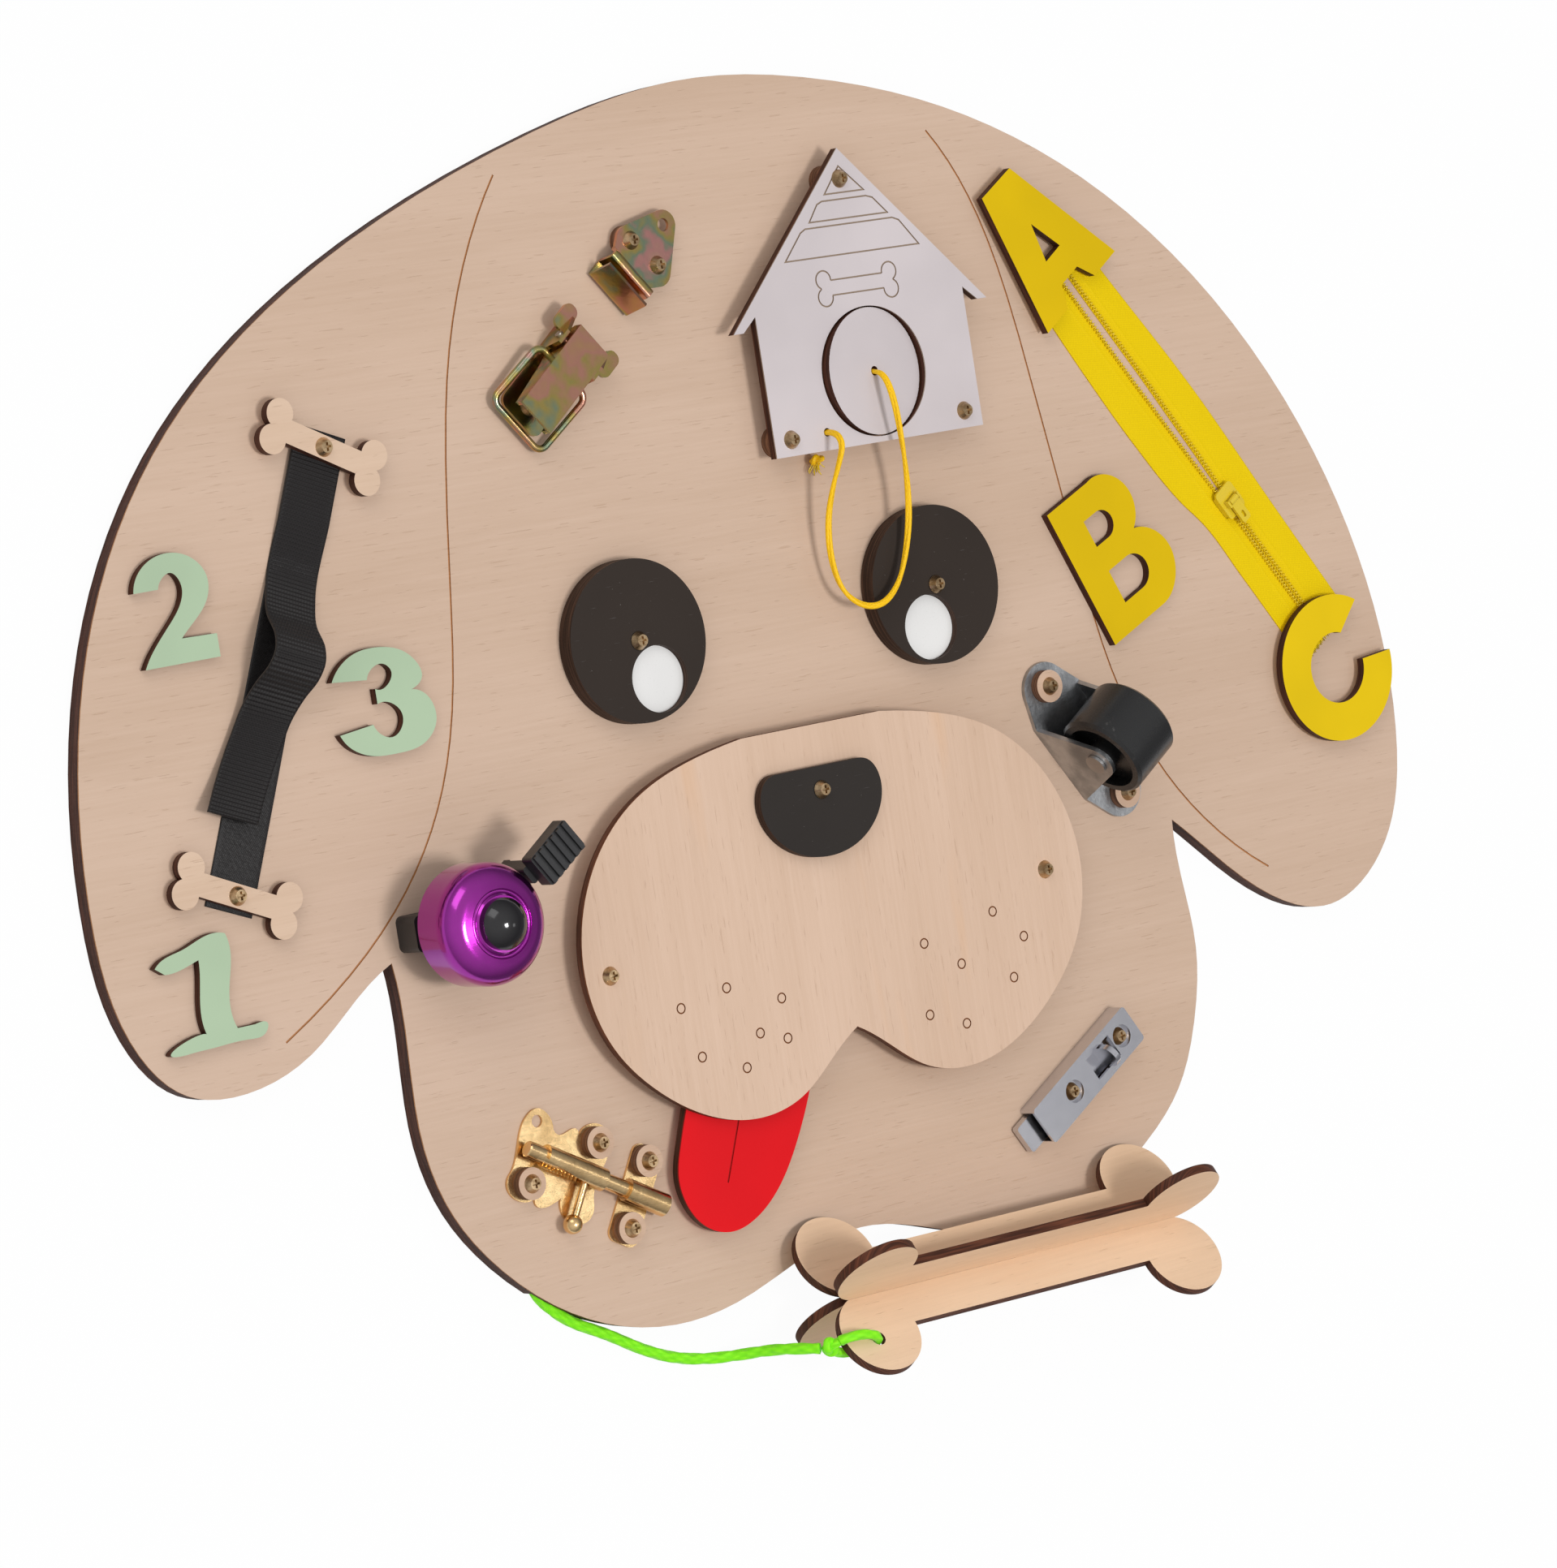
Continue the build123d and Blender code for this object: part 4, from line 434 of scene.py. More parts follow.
# %% [markdown]
# ## The zip
# Two woven tapes lie side by side from the A down to the C. Each carries a row of teeth that is
# really one plastic thread wound into a flat coil, so the teeth are a helix, squeezed in height.
# Below the slider the coils lie close together; above it they stand apart.

# %% Zip tapes
ZIP_TOP = np.array((141, 106.6))
zip_turn = np.radians(-56.07)
zip_down = np.array((np.cos(zip_turn), np.sin(zip_turn)))
zip_side = np.array((-zip_down[1], zip_down[0]))
ZIP_SIDES = ((-1, "left"), (1, "right"))
TAPE_INNER = [(-4, 1.3), (40, 1.4), (75, 0.9), (100, 0.15), (152, 0.15)]
TAPE_OUTER = {
    "left": [(-4, 14.6), (25, 15.8), (53, 16.1), (80, 14.6), (92, 12.4), (115, 12.2), (152, 12.4)],
    "right": [(-4, 13.2), (9, 13.7), (58, 15.6), (103, 14.7), (152, 13.9)],
}
TAPE_TOP, TAPE_UNDER = 6.42, 6.03


def zip_points(distance, across, height):
    """World points from the distance down the zip, the distance across it and the height."""
    flat = ZIP_TOP + distance[..., None] * zip_down + across[..., None] * zip_side
    return np.concatenate([flat, height[..., None]], axis=-1) * MM


zip_tapes = []
for side, word in ZIP_SIDES:
    down, share = np.meshgrid(np.linspace(-4, 148, 420), np.linspace(0, 1, 46), indexing="ij")
    inner = np.interp(down, *np.array(TAPE_INNER).T)
    outer = smooth_through(down, TAPE_OUTER[word])
    across = inner + (outer - inner) * share
    fray = (3.2 + 3.4 * np.abs(np.sin(share * 61 + 3 * side))) * np.clip((down - 139) / 9, 0, 1)
    weave = 0.05 * np.cos(2 * np.pi * down / 0.9) * np.cos(2 * np.pi * across / 1.1)
    seam = 0.12 * np.exp(-(((across - inner - 4.2) / 0.35) ** 2))
    hem = 0.1 * np.exp(-(((outer - across - 0.6) / 0.4) ** 2))
    swell = 0.35 * np.sin(down * 0.055 + side) ** 2 * share * (1 - share) * 4
    top = zip_points(down + fray, side * across, TAPE_TOP + weave + (seam + hem) + swell)
    under = zip_points(down + fray, side * across, TAPE_UNDER + swell)
    uv = cloth_map(down, across)
    if side < 0:
        top, under, uv = top[:, ::-1], under[:, ::-1], uv[:, ::-1]
    tape = slab(f"zip_tape_{word}", top, under, "board_body", uv)
    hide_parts("zip_tapes")
    zip_tapes.append(tape)
print("zip tapes", [tape.name for tape in zip_tapes])

# %% Zip teeth
TURNS, STEPS, THREAD_SIDES, THREAD_RADIUS = 116, 12, 6, 0.19
COIL_MIDDLE, COIL_HALF_WIDTH, COIL_LEVEL, COIL_HALF_HEIGHT = 0.82, 0.66, 7.18, 0.42
zip_coils = []
for side, word in ZIP_SIDES:
    turn = np.linspace(0, 2 * np.pi * TURNS, TURNS * STEPS)
    down = -3 + 151 * turn / turn[-1]
    inner = np.interp(down, *np.array(TAPE_INNER).T)
    across = side * (inner + COIL_MIDDLE + COIL_HALF_WIDTH * np.cos(turn + np.pi * (side > 0)))
    line = zip_points(down, across, COIL_LEVEL + COIL_HALF_HEIGHT * np.sin(turn))
    ahead = np.gradient(line, axis=0)
    ahead /= np.linalg.norm(ahead, axis=1, keepdims=True)
    lift = np.cross(ahead, np.append(zip_down, 0))
    lift /= np.linalg.norm(lift, axis=1, keepdims=True)
    rings = rings_round(line, lift, np.cross(ahead, lift), THREAD_RADIUS * MM, THREAD_SIDES)
    faces = ring_faces(len(line), THREAD_SIDES)
    teeth = add_piece(f"zip_teeth_{word}", rings, faces, "board_body")
    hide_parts("zip_coils")
    zip_coils.append(teeth)
print("coils", [teeth.name for teeth in zip_coils], "of", TURNS, "turns each")

# %% [markdown]
# ## A small language for finishes
# A finish is a network of nodes, and most of it is plain arithmetic. One class wraps a socket and
# lets it be added and multiplied like a number; another holds the material and adds any node.

# %% Signals
def find(sockets, key):
    """A socket by its place, its identifier or its name."""
    if isinstance(key, int):
        return sockets[key]
    return next(s for s in sockets if key in (s.identifier, s.name))


class Signal:
    """One socket's value. Arithmetic on it adds Math nodes."""

    def __init__(self, finish, socket):
        self.finish = finish
        self.socket = socket

    def maths(self, operation, a, b):
        return self.finish.node("ShaderNodeMath", {"operation": operation}, {0: a, 1: b})

    def __add__(self, other):
        return self.maths("ADD", self, other)

    def __sub__(self, other):
        return self.maths("SUBTRACT", self, other)

    def __rsub__(self, other):
        return self.maths("SUBTRACT", other, self)

    def __mul__(self, other):
        return self.maths("MULTIPLY", self, other)

    __radd__ = __add__
    __rmul__ = __mul__

    def between(self, low, high):
        """Rises smoothly from 0 at low to 1 at high."""
        return self.finish.node(
            "ShaderNodeMapRange", {"interpolation_type": "SMOOTHSTEP"},
            {"Value": self, "From Min": low, "From Max": high}, "Result",
        )


print("arithmetic", [word for word in ("__add__", "__sub__", "__mul__") if hasattr(Signal, word)])

# %% Finishes
class Finish:
    """A material. Constants sit on the shader's own sockets; signals feed what changes."""

    def __init__(self, name, constants, out=(0.0, 0.0, 1.0)):
        self.material = bpy.data.materials.new(name)
        self.material.use_nodes = True
        self.tree = self.material.node_tree
        self.shader = self.tree.nodes["Principled BSDF"]
        for socket, value in constants.items():
            self.shader.inputs[socket].default_value = value
        self.place = self.node("ShaderNodeTexCoord", {}, {}, "Object")
        normal = self.node("ShaderNodeTexCoord", {}, {}, "Normal")
        self.facing = self.node(
            "ShaderNodeVectorMath", {"operation": "DOT_PRODUCT"}, {0: normal, 1: tuple(out)}, "Value",
        )
        self.height = self.node("ShaderNodeSeparateXYZ", {}, {0: self.place}, "Z")

    def node(self, kind, settings, inputs, out=0):
        """Adds a node of a type, gives it its settings, then its sockets' values or links."""
        node = self.tree.nodes.new(kind)
        for key, value in settings.items():
            if key == "stops":
                for place, _ in value[1:-1]:
                    node.color_ramp.elements.new(place)
                for element, (place, colour) in zip(node.color_ramp.elements, value):
                    element.position = place
                    element.color = (*colour, 1.0)
            else:
                setattr(node, key, value)
        for key, value in inputs.items():
            socket = find(node.inputs, key)
            if isinstance(value, Signal):
                self.tree.links.new(value.socket, socket)
            else:
                socket.default_value = value
        return Signal(self, find(node.outputs, out))

    def stretched(self, factors, source=None):
        """Object coordinates, or another signal, multiplied by a factor along each axis."""
        factors = {0: source or self.place, 1: factors}
        return self.node("ShaderNodeVectorMath", {"operation": "MULTIPLY"}, factors)

    def noise(self, factors, detail, rough=0.5):
        """Noise whose lumps are about one over factors metres long on each axis."""
        inputs = {"Scale": 1.0, "Detail": detail, "Roughness": rough}
        return self.node("ShaderNodeTexNoise", {}, {"Vector": self.stretched(factors), **inputs})

    def mix(self, share, a, b):
        """Colour a where share is 0 and colour b where it is 1."""
        a = (*a, 1.0) if isinstance(a, tuple) else a
        b = (*b, 1.0) if isinstance(b, tuple) else b
        return self.node(
            "ShaderNodeMix", {"data_type": "RGBA"},
            {"Factor_Float": share, "A_Color": a, "B_Color": b}, "Result_Color",
        )

    def feed(self, socket, signal):
        """Links a signal to one of the shader's sockets."""
        self.tree.links.new(signal.socket, self.shader.inputs[socket])

    def relief(self, signal, distance):
        """Bumps of that height in metres where the signal goes from 0 to 1."""
        inputs = {"Strength": 1.0, "Distance": distance, "Height": signal}
        self.feed("Normal", self.node("ShaderNodeBump", {}, inputs, "Normal"))


def wear(nodes, finish):
    """Gives CAD nodes a finish by their material slots."""
    for name in nodes:
        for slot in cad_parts[name].material_slots:
            slot.material = finish.material


print("slots to fill", sum(len(node.material_slots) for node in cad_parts.values()))

# %% [markdown]
# ## Birch plywood
# Birch is pale and quiet: long faint bands, fine fibres, and short darker flecks along the grain.
# A laser cuts it, so every edge is burnt dark brown, with the plies just visible, and the lines
# drawn on it are shallow burnt grooves, which the finish finds by their depth.

# %% What a laser leaves: burnt edges and grooves
EDGE = (0.060, 0.020, 0.011)
BURNT = (0.36, 0.125, 0.035)
BOARD_FACE, TONGUE_FACE, RAISED_FACE = 6.0, 12.0, 15.0
GROOVE_BEGINS, GROOVE_ENDS = (0.52, 0.44), (0.1, 0.02)


def toned(colour, factor):
    """A colour made lighter or darker by a factor."""
    return tuple(min(1.0, c * factor) for c in colour)


def burnt_edges(f, face, edge):
    """A face's colour, with burnt plies on all that stands upright to the sheet."""
    plies = f.noise((60.0, 60.0, 2400.0), 2.0, 0.6)
    burnt = f.mix(plies.between(0.35, 0.75), toned(edge, 0.6), toned(edge, 2.0))
    upright = 1 - f.facing.between(0.35, 0.8) - (f.facing * -1).between(0.35, 0.8)
    return f.mix(upright, face, burnt)


def engraved(f, top):
    """1 in the shallow grooves under a face at that height in millimetres, 0 under and above them."""
    begins = f.height.between(*((top - depth) * MM for depth in GROOVE_BEGINS))
    ends = f.height.between(*((top - depth) * MM for depth in GROOVE_ENDS))
    return begins * (1 - ends)


print("faces at", BOARD_FACE, TONGUE_FACE, RAISED_FACE, "mm")

# %% Bare birch
FLECK, STREAK = (0.42, 0.24, 0.13), (0.72, 0.42, 0.22)


def birch(name, light, dark, along_x=True, groove=None, line=BURNT, streaks=0.0, edge=EDGE, out=(0, 0, 1)):
    """Bands, fibres and flecks stretched along the grain; burnt at the edges and in the grooves."""
    f = Finish(name, {"Roughness": 0.62, "Specular IOR Level": 0.25}, out)

    def grain(along, over):
        return (along, over, 40.0) if along_x else (over, along, 40.0)

    bands = f.noise(grain(3.0, 26.0), 4.0, 0.55)
    fibres = f.noise(grain(28.0, 900.0), 5.0, 0.65)
    flecks = f.noise(grain(120.0, 1900.0), 2.0, 0.5).between(0.66, 0.74)
    tone = (bands - 0.5) * 1.5 + (fibres - 0.5) * 0.7 + 0.5
    colour = f.mix(tone.between(0.05, 0.95), light, dark)
    if streaks:
        glow = f.noise(grain(7.0, 60.0), 3.0, 0.6).between(0.6, 0.78)
        colour = f.mix(glow * streaks, colour, STREAK)
    colour = burnt_edges(f, f.mix(flecks * 0.22, colour, FLECK), edge)
    if groove:
        colour = f.mix(engraved(f, groove), colour, f.mix(fibres, line, toned(line, 0.6)))
    f.feed("Base Color", colour)
    f.feed("Roughness", fibres * 0.25 + 0.5)
    f.relief(fibres * 0.6 + flecks * 0.4, 0.00012)
    return f


board_birch = birch(
    "board_birch", (0.646, 0.471, 0.355), (0.57, 0.404, 0.292),
    groove=BOARD_FACE, line=(0.60, 0.27, 0.10),
)
muzzle_birch = birch(
    "muzzle_birch", (0.715, 0.515, 0.385), (0.62, 0.43, 0.305), along_x=False,
    groove=RAISED_FACE, line=(0.29, 0.095, 0.025), streaks=0.35, edge=(0.095, 0.034, 0.018),
)
tile_birch = birch("tile_birch", (0.72, 0.53, 0.39), (0.62, 0.44, 0.31))
toy_birch = [
    birch(
        f"toy_birch_{word}", (0.84, 0.595, 0.40), (0.725, 0.497, 0.32),
        streaks=0.25, edge=(0.078, 0.024, 0.011), out=out,
    )
    for word, out in (("standing", bone_plate), ("lying", bone_out))
]
washer_birch = birch("washer_birch", (0.66, 0.47, 0.34), (0.55, 0.37, 0.26), edge=(0.16, 0.075, 0.04))
wear(["board"], board_birch)
wear(["muzzle"], muzzle_birch)
wear(["strap_bone_top", "strap_bone_bottom"], tile_birch)
wear(["toy_bone_a"], toy_birch[0])
wear(["toy_bone_b"], toy_birch[1])
wear(["wood_washers", "spacers", "letter_pads"], washer_birch)
print("birch finishes", [m.name for m in bpy.data.materials if "birch" in m.name])

# %% [markdown]
# ## Paint on plywood
# The letters, digits, house, tongue, eyes and nose are painted before they are cut, so the paint
# stops at a burnt edge. It is thin: a hint of the grain stands through it, and the roller leaves
# a faint orange-peel. The black of the eyes and the nose is dusty and scratched, and the white
# pupils have a gloss.

# %% Painted pieces
BLACK_EDGE = (0.045, 0.024, 0.016)
DUST, SCRATCH = (0.30, 0.28, 0.26), (0.16, 0.15, 0.15)
LILAC = (0.61, 0.55, 0.555)
PUPIL_GLOSS = {"Roughness": 0.3, "Coat Weight": 0.4, "Coat Roughness": 0.1}


def paint(name, colour, edge=EDGE, rough=0.5, groove=None, line=BURNT, specks=0.0, constants=None):
    """Thin rolled paint: a slow drift of tone, grain and orange-peel in relief, bare burnt edges."""
    f = Finish(name, constants or {"Specular IOR Level": 0.14})
    drift = f.noise((18.0, 18.0, 18.0), 3.0)
    grain = f.noise((60.0, 700.0, 60.0), 4.0, 0.6)
    peel = f.noise((1400.0, 1400.0, 1400.0), 2.0)
    tone = f.mix(drift.between(0.3, 0.7), toned(colour, 0.94), toned(colour, 1.05))
    if specks:
        dust = f.noise((900.0, 900.0, 900.0), 3.0, 0.7).between(0.70, 0.78)
        scratch = f.noise((140.0, 2600.0, 140.0), 2.0).between(0.72, 0.78)
        tone = f.mix(dust * specks, tone, DUST)
        tone = f.mix(scratch * specks * 0.6, tone, SCRATCH)
    tone = burnt_edges(f, tone, edge)
    if groove:
        tone = f.mix(engraved(f, groove), tone, line)
    f.feed("Base Color", tone)
    f.feed("Roughness", peel * 0.16 + (rough - 0.08))
    f.relief(grain * 0.4 + peel * 0.6, 0.00005)
    return f


red = paint("red_paint", (0.745, 0.004, 0.009), rough=0.45, groove=TONGUE_FACE, line=(0.42, 0.01, 0.01))
lilac = paint("lilac_paint", LILAC, groove=RAISED_FACE, line=(0.36, 0.27, 0.20))
eye_black = paint("black_paint", (0.033, 0.024, 0.019), BLACK_EDGE, 0.55, specks=0.55)
nose_black = paint("black_nose_paint", (0.029, 0.024, 0.021), BLACK_EDGE, 0.55, specks=0.35)
pupil_white = paint("white_paint", (0.80, 0.79, 0.77), rough=0.3, constants=PUPIL_GLOSS)
wear(["tongue"], red)
wear(["house"], lilac)
wear(["door"], paint("lilac_door_paint", LILAC))
wear(["letter_a", "letter_b"], paint("yellow_paint", (0.71, 0.475, 0.0)))
# The C wears a lighter copy of the letters' yellow: painted light that makes up for the shade that falls on
# it.
wear(["letter_c"], paint("yellow_paint_lit_c", (0.77, 0.53, 0.003)))
wear(["number_1", "number_2", "number_3"], paint("mint_paint", (0.415, 0.54, 0.366), rough=0.45))
wear(["eye_left_base", "eye_left_face", "eye_right_base", "eye_right_face"], eye_black)
wear(["nose"], nose_black)
wear(["eye_left_pupil", "eye_right_pupil"], pupil_white)
print("paints", [m.name for m in bpy.data.materials if "paint" in m.name])

# %% [markdown]
# ## Metals
# Seven metals meet on this board: lacquered brass, yellow-chromated steel whose thin film turns
# olive, pink and teal, the screws' yellow zinc, grey zinc, galvanised steel, plain steel, and the
# bell's purple dye over bright metal. All are fully metallic; what tells them apart is colour,
# roughness and how they were pressed.

# %% Metal finishes
def metal(name, light, dark, rough, blotch=60.0, pits=0.0, constants=None):
    """Polished or plated metal: blotches of tone and gloss, fine rolling lines, and pits if cast."""
    f = Finish(name, {"Metallic": 1.0, **(constants or {})})
    cloud = f.noise((blotch, blotch, blotch), 4.0, 0.6)
    lines = f.noise((120.0, 2600.0, 900.0), 2.0)
    smear = f.noise((300.0, 300.0, 300.0), 3.0)
    f.feed("Base Color", f.mix(cloud.between(0.3, 0.7), light, dark))
    f.feed("Roughness", cloud * 0.16 + smear * 0.1 + (rough - 0.12))
    dents = f.noise((700.0, 700.0, 700.0), 4.0, 0.7)
    f.relief(lines * 0.25 + dents * (0.1 + pits), 0.00004 + 0.0001 * pits)
    return f


PURPLE_COAT = {"Coat Weight": 0.6, "Coat Roughness": 0.04}
brass = metal("brass", (0.98, 0.70, 0.36), (0.70, 0.46, 0.21), 0.18, 100.0, 0.7)
grey_zinc = metal("grey_zinc", (0.68, 0.68, 0.71), (0.57, 0.57, 0.61), 0.2, 25.0, -0.08)
galvanised = metal("galvanised", (0.55, 0.56, 0.57), (0.30, 0.31, 0.32), 0.34, 90.0, 0.9)
plain_steel = metal("plain_steel", (0.62, 0.61, 0.60), (0.45, 0.44, 0.43), 0.3)
yellow_zinc = metal("yellow_zinc", (0.64, 0.46, 0.27), (0.28, 0.18, 0.09), 0.28, 400.0)
purple = metal("purple_metal", (0.44, 0.03, 0.42), (0.34, 0.018, 0.33), 0.16, 30.0, constants=PURPLE_COAT)
wear(["bolt_plate", "bolt_keeper", "bolt_rod", "bolt_knob"], brass)
wear(["slide_bolt_case", "slide_bolt_tongue"], grey_zinc)
wear(["caster_bracket"], galvanised)
wear(["caster_axle", "latch_pin", "bell_post", "bell_spring"], plain_steel)
wear(["screws"], yellow_zinc)
wear(["bell_dome"], purple)
print("materials", len(bpy.data.materials))

# %% Yellow chromate
FILM_COLOURS = [
    (0.2, (0.60, 0.40, 0.14)), (0.42, (0.62, 0.30, 0.22)), (0.5, (0.46, 0.36, 0.11)),
    (0.57, (0.26, 0.33, 0.22)), (0.63, (0.60, 0.29, 0.26)), (0.85, (0.58, 0.38, 0.22)),
]
chromate = Finish("yellow_chromate", {"Metallic": 1.0})
film = chromate.noise((62.0, 62.0, 90.0), 3.0, 0.5)
film_colour = chromate.node("ShaderNodeValToRGB", {"stops": FILM_COLOURS}, {"Fac": film}, "Color")
chromate.feed("Base Color", film_colour)
chromate.feed("Roughness", film * 0.2 + 0.12)
chromate.relief(chromate.noise((500.0, 500.0, 500.0), 3.0), 0.00004)
wear(["latch_base", "latch_lever", "latch_bail", "latch_keeper"], chromate)
print("chromate colours", len(FILM_COLOURS))

# %% [markdown]
# ## Plastic and rubber
# The bell's clamp and lever are moulded nylon with a faint grain, its button is glossy, the zip's
# slider is enamelled, and the caster's tyre is black rubber, scuffed grey where it has rolled.

# %% Plastic and rubber finishes
def moulded(name, colour, rough, grain=2200.0, scuffs=0.0, constants=None):
    """Moulded plastic or rubber: a fine even grain, and pale scuffs in patches."""
    f = Finish(name, constants or {"Specular IOR Level": 0.5})
    fine = f.noise((grain, grain, grain), 2.0)
    patch = f.noise((90.0, 90.0, 90.0), 5.0, 0.7).between(0.52, 0.7)
    scratches = f.noise((900.0, 160.0, 900.0), 3.0, 0.6).between(0.55, 0.7)
    f.feed("Base Color", f.mix(patch * scratches * scuffs, colour, (0.22, 0.21, 0.20)))
    f.feed("Roughness", patch * 0.15 + fine * 0.1 + (rough - 0.08))
    f.relief(fine, 0.00003)
    return f


BUTTON_COAT = {"Coat Weight": 0.4, "Coat Roughness": 0.03}
ENAMEL_COAT = {"Coat Weight": 0.5, "Coat Roughness": 0.08}
button = moulded("black_gloss", (0.005, 0.004, 0.005), 0.16, 400.0, constants=BUTTON_COAT)
enamel = moulded("yellow_enamel", (0.74, 0.54, 0.02), 0.3, 900.0, constants=ENAMEL_COAT)
wear(["bell_base", "bell_lever"], moulded("black_nylon", (0.018, 0.018, 0.019), 0.38))
wear(["bell_knob"], button)
wear(["caster_wheel"], moulded("black_rubber", (0.012, 0.012, 0.012), 0.32, 1500.0, 0.5))
wear(["zip_slider", "zip_pull"], enamel)
wear(["toy_cord_stop"], moulded("green_stop", (0.2, 0.7, 0.02), 0.6, 1200.0))
print("materials", len(bpy.data.materials))

# %% [markdown]
# ## Cloth and cord
# Woven things scatter light at grazing angles, which the sheen of the shader gives, and their
# threads show as fine relief that follows each piece's own map: along it and across it, with painted shade
# in the gaps between threads.

# %% Cloth finishes
def cloth(name, colour, shade, threads, rough, sheen, constants=None):
    """Threads along and across the piece's own map, with painted shade darkening the gaps between them, and
    a soft sheen.

    A thread shows where sine times sine of the two distances is high; threads gives how many
    radians each distance takes to a centimetre.
    """
    soft = {"Sheen Weight": sheen, "Sheen Roughness": 0.4, "Specular IOR Level": 0.3}
    f = Finish(name, {**soft, **(constants or {})})
    chart = f.node("ShaderNodeUVMap", {"uv_map": "along"}, {}, "UV")
    turned = f.stretched((*threads, 1.0), chart)
    waves = [
        f.node(
            "ShaderNodeMath", {"operation": "SINE"},
            {0: f.node("ShaderNodeSeparateXYZ", {}, {0: turned}, axis)},
        )
        for axis in ("X", "Y")
    ]
    thread = waves[0] * waves[1] * 0.5 + 0.5
    fuzz = f.noise((2500.0, 2500.0, 2500.0), 3.0, 0.7)
    # The gaps between threads get the darker shade colour: painted shade that deepens the grooves beyond
    # what the relief throws.
    f.feed("Base Color", f.mix(thread * 0.6 + fuzz * 0.4, shade, colour))
    f.feed("Roughness", fuzz * 0.2 + (rough - 0.1))
    f.relief(thread * 0.6 + fuzz * 0.4, 0.00008)
    return f


# The green cord and the yellow string glow faintly: painted light that brightens them beyond what the lamps
# give.
GREEN_GLOW = {"Emission Color": (0.2, 0.8, 0.0, 1), "Emission Strength": 0.12}
YELLOW_GLOW = {"Emission Color": (0.9, 0.5, 0.0, 1), "Emission Strength": 0.1}
MATT = {"Specular IOR Level": 0.12}
webbing = cloth("black_webbing", (0.024, 0.021, 0.020), (0.004, 0.003, 0.003), (50.3, 62.8), 0.55, 0.05)
hooks = cloth("black_hooks", (0.030, 0.027, 0.026), (0.005, 0.004, 0.004), (80.0, 75.0), 0.5, 0.1)
tape_cloth = cloth("yellow_tape", (0.87, 0.64, 0.0), (0.74, 0.50, 0.0), (69.8, 57.1), 0.62, 0.04, MATT)
green_cloth = cloth("green_cord", (0.28, 0.90, 0.012), (0.13, 0.66, 0.0), (25.1, 12.6), 0.6, 0.2, GREEN_GLOW)
satin = cloth("yellow_satin", (0.94, 0.60, 0.0), (0.80, 0.42, 0.0), (31.4, 30.0), 0.45, 0.1, YELLOW_GLOW)
coil_gloss = moulded("yellow_coil", (0.80, 0.57, 0.01), 0.32, 900.0)
print("materials", len(bpy.data.materials))

# %% Finishes put on the new pieces
for pieces, finish in (
    ((strap_loop,), webbing), ((strap_hook,), hooks), (zip_tapes, tape_cloth),
    ((toy_cord, toy_knot, toy_loop), green_cloth), ((door_string, door_knot, house_knot), satin),
    ((tuft, *zip_coils), coil_gloss),
):
    for piece in pieces:
        piece.data.materials.append(finish.material)
        print(piece.name, "wears", finish.material.name)

# %% [markdown]
# ## Light and floor
# One broad lamp, almost overhead, draws soft shadows close to each piece, a weak one beyond the
# ears lights the rim, and a small one gives metal a glint. A pale sky fills the shadows, and it
# is brighter on the left so that metal has something to mirror. To the camera the sky is white
# and the floor nearly so, with only a trace of the shadow, but to the object both are pale grey.

# %% Lamps
def lamp(name, place, aim, size, watts):
    """A square lamp at a place, turned to shine at a point."""
    light = bpy.data.lights.new(name, "AREA")
    light.size, light.energy = size, watts
    holder = bpy.data.objects.new(name, light)
    bpy.context.collection.objects.link(holder)
    back = np.array(place) - np.array(aim)
    back = back / np.linalg.norm(back)
    side = np.cross((0, 0, 1), back)
    side = side / np.linalg.norm(side)
    holder.matrix_world = standing(place, (side, np.cross(back, side), back))


lamp("key", (0.04, -0.26, 2.06), (0, 0, 0), 0.4, 18.2)
lamp("glint", (0.92, -0.38, 1.55), (0, -0.1, 0), 0.3, 0.5)
lamp("rim", (-0.9, 1.2, 1.0), (0, 0, 0), 0.9, 4.0)

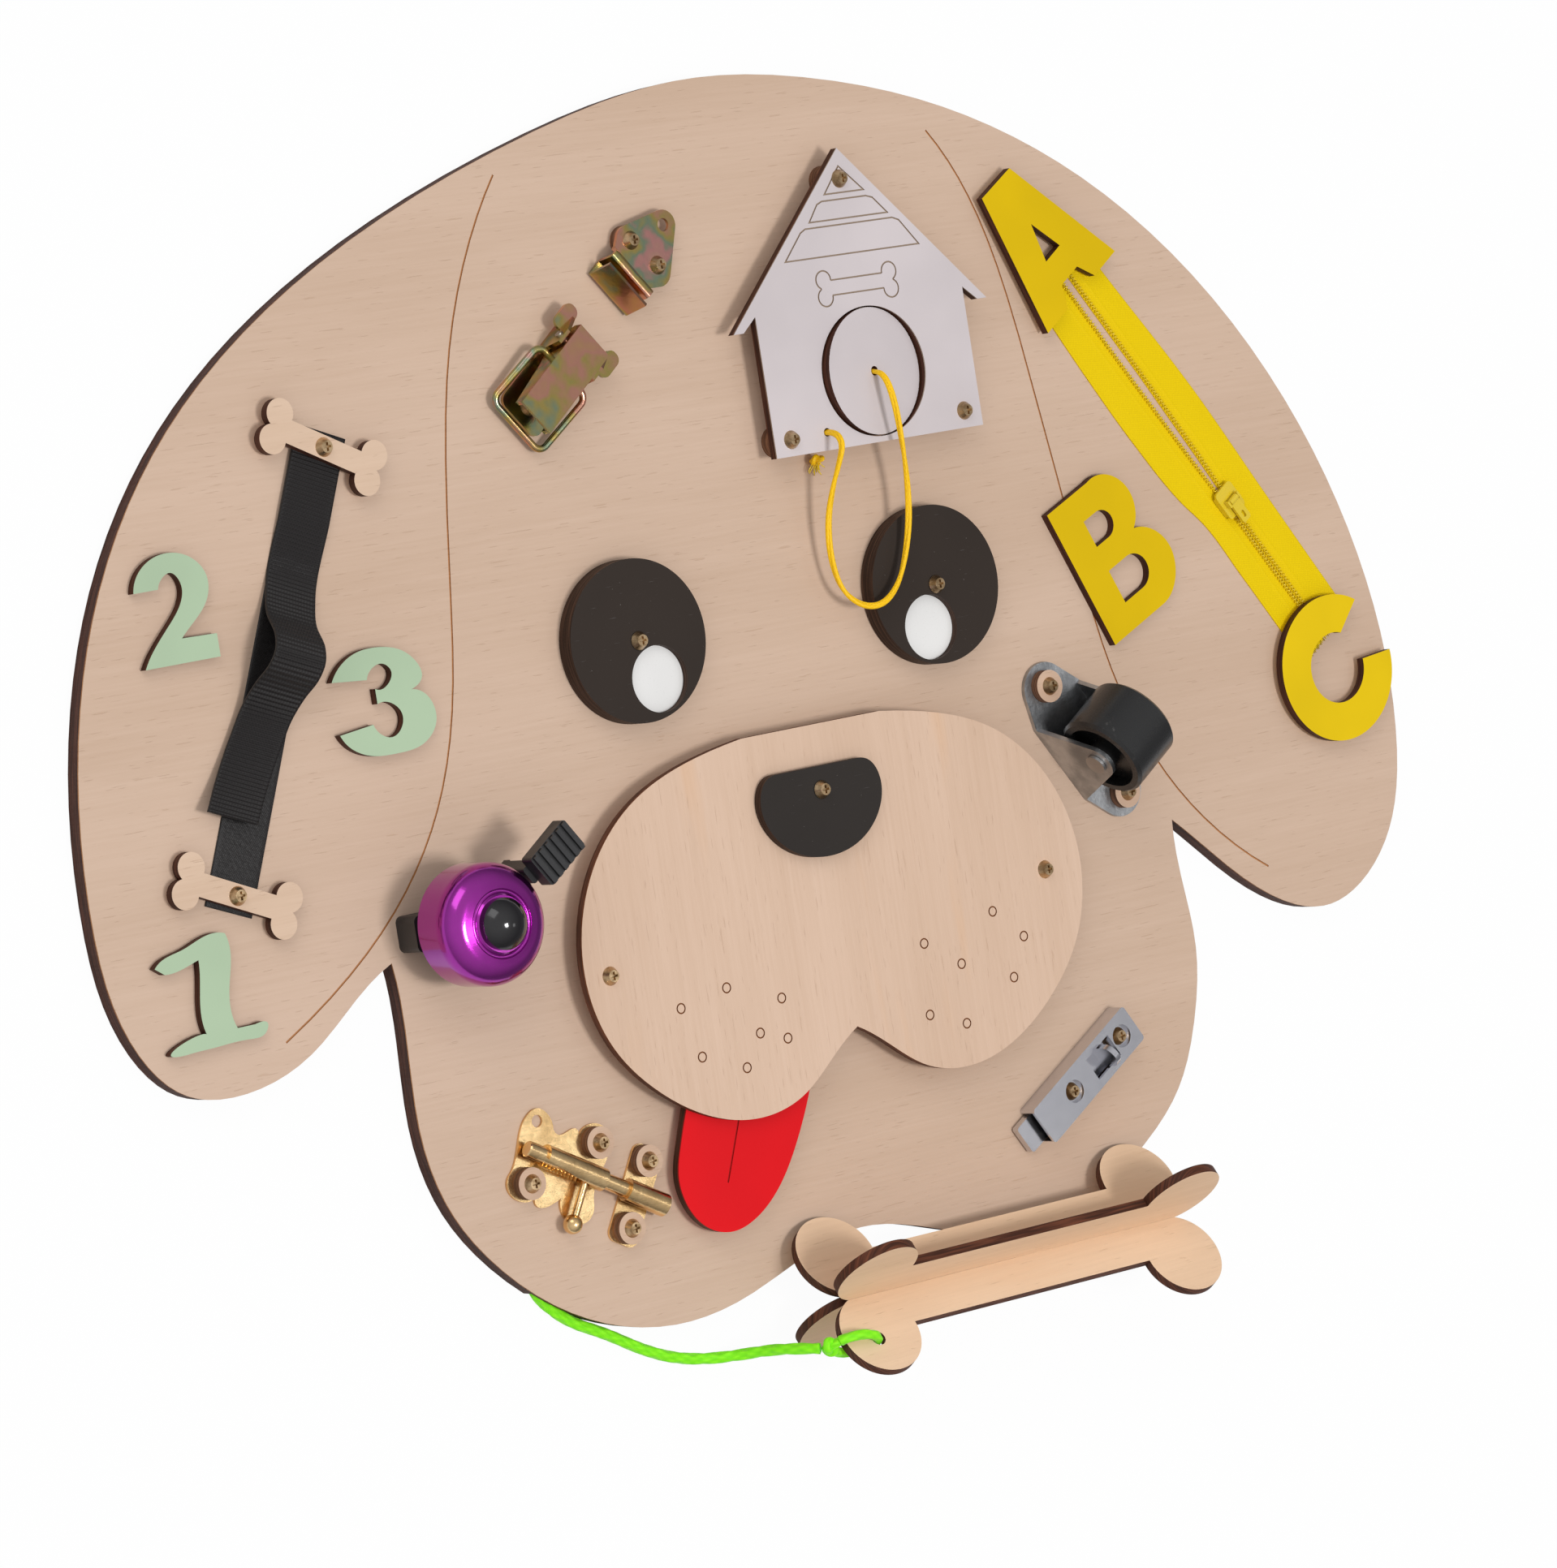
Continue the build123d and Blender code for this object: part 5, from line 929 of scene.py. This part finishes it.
# %% Sky
BRIGHT_SIDE = (-0.30, 0.10, 0.60)
DIM_SKY, BRIGHT_SKY = (0.20, 0.20, 0.21, 1), (0.72, 0.72, 0.73, 1)
world = bpy.data.worlds.new("sky")
bpy.context.scene.world = world
world.use_nodes = True
sky = world.node_tree
rays = sky.nodes.new("ShaderNodeLightPath")
where = sky.nodes.new("ShaderNodeTexCoord")
toward = sky.nodes.new("ShaderNodeVectorMath")
toward.operation = "DOT_PRODUCT"
toward.inputs[1].default_value = BRIGHT_SIDE
sky.links.new(where.outputs["Generated"], toward.inputs[0])
ramp = sky.nodes.new("ShaderNodeValToRGB")
dim, bright = ramp.color_ramp.elements
dim.position, dim.color = 0.0, DIM_SKY
bright.position, bright.color = 0.6, BRIGHT_SKY
sky.links.new(toward.outputs["Value"], ramp.inputs["Fac"])
chosen = sky.nodes.new("ShaderNodeMix")
chosen.data_type = "RGBA"
find(chosen.inputs, "B_Color").default_value = (1, 1, 1, 1)
sky.links.new(rays.outputs["Is Camera Ray"], find(chosen.inputs, "Factor_Float"))
sky.links.new(ramp.outputs["Color"], find(chosen.inputs, "A_Color"))
sky.links.new(find(chosen.outputs, "Result_Color"), sky.nodes["Background"].inputs["Color"])
print("sky from", DIM_SKY[:3], "to", BRIGHT_SKY[:3])

# %% Floor
FLOOR_HALF, FLOOR_LEVEL = 4, -0.0003
FLOOR_GREY = (0.82, 0.82, 0.82, 1)
WHITE_SHARE = 0.96
corners = [(x * FLOOR_HALF, y * FLOOR_HALF, FLOOR_LEVEL) for x, y in ((-1, -1), (1, -1), (1, 1), (-1, 1))]
mesh = bpy.data.meshes.new("floor")
mesh.from_pydata(corners, [], [(0, 1, 2, 3)])
floor = bpy.data.objects.new("floor", mesh)
bpy.context.collection.objects.link(floor)
pale = bpy.data.materials.new("floor")
pale.use_nodes = True
tree = pale.node_tree
shader = tree.nodes["Principled BSDF"]
shader.inputs["Base Color"].default_value = FLOOR_GREY
shader.inputs["Roughness"].default_value = 0.9
glow = tree.nodes.new("ShaderNodeEmission")
blend = tree.nodes.new("ShaderNodeMixShader")
rays = tree.nodes.new("ShaderNodeLightPath")
seen = tree.nodes.new("ShaderNodeMath")
seen.operation = "MULTIPLY"
seen.inputs[1].default_value = WHITE_SHARE
tree.links.new(rays.outputs["Is Camera Ray"], seen.inputs[0])
tree.links.new(seen.outputs[0], blend.inputs[0])
tree.links.new(shader.outputs[0], blend.inputs[1])
tree.links.new(glow.outputs[0], blend.inputs[2])
tree.links.new(blend.outputs[0], tree.nodes["Material Output"].inputs["Surface"])
mesh.materials.append(pale)
print("floor", FLOOR_HALF * 2, "m wide")
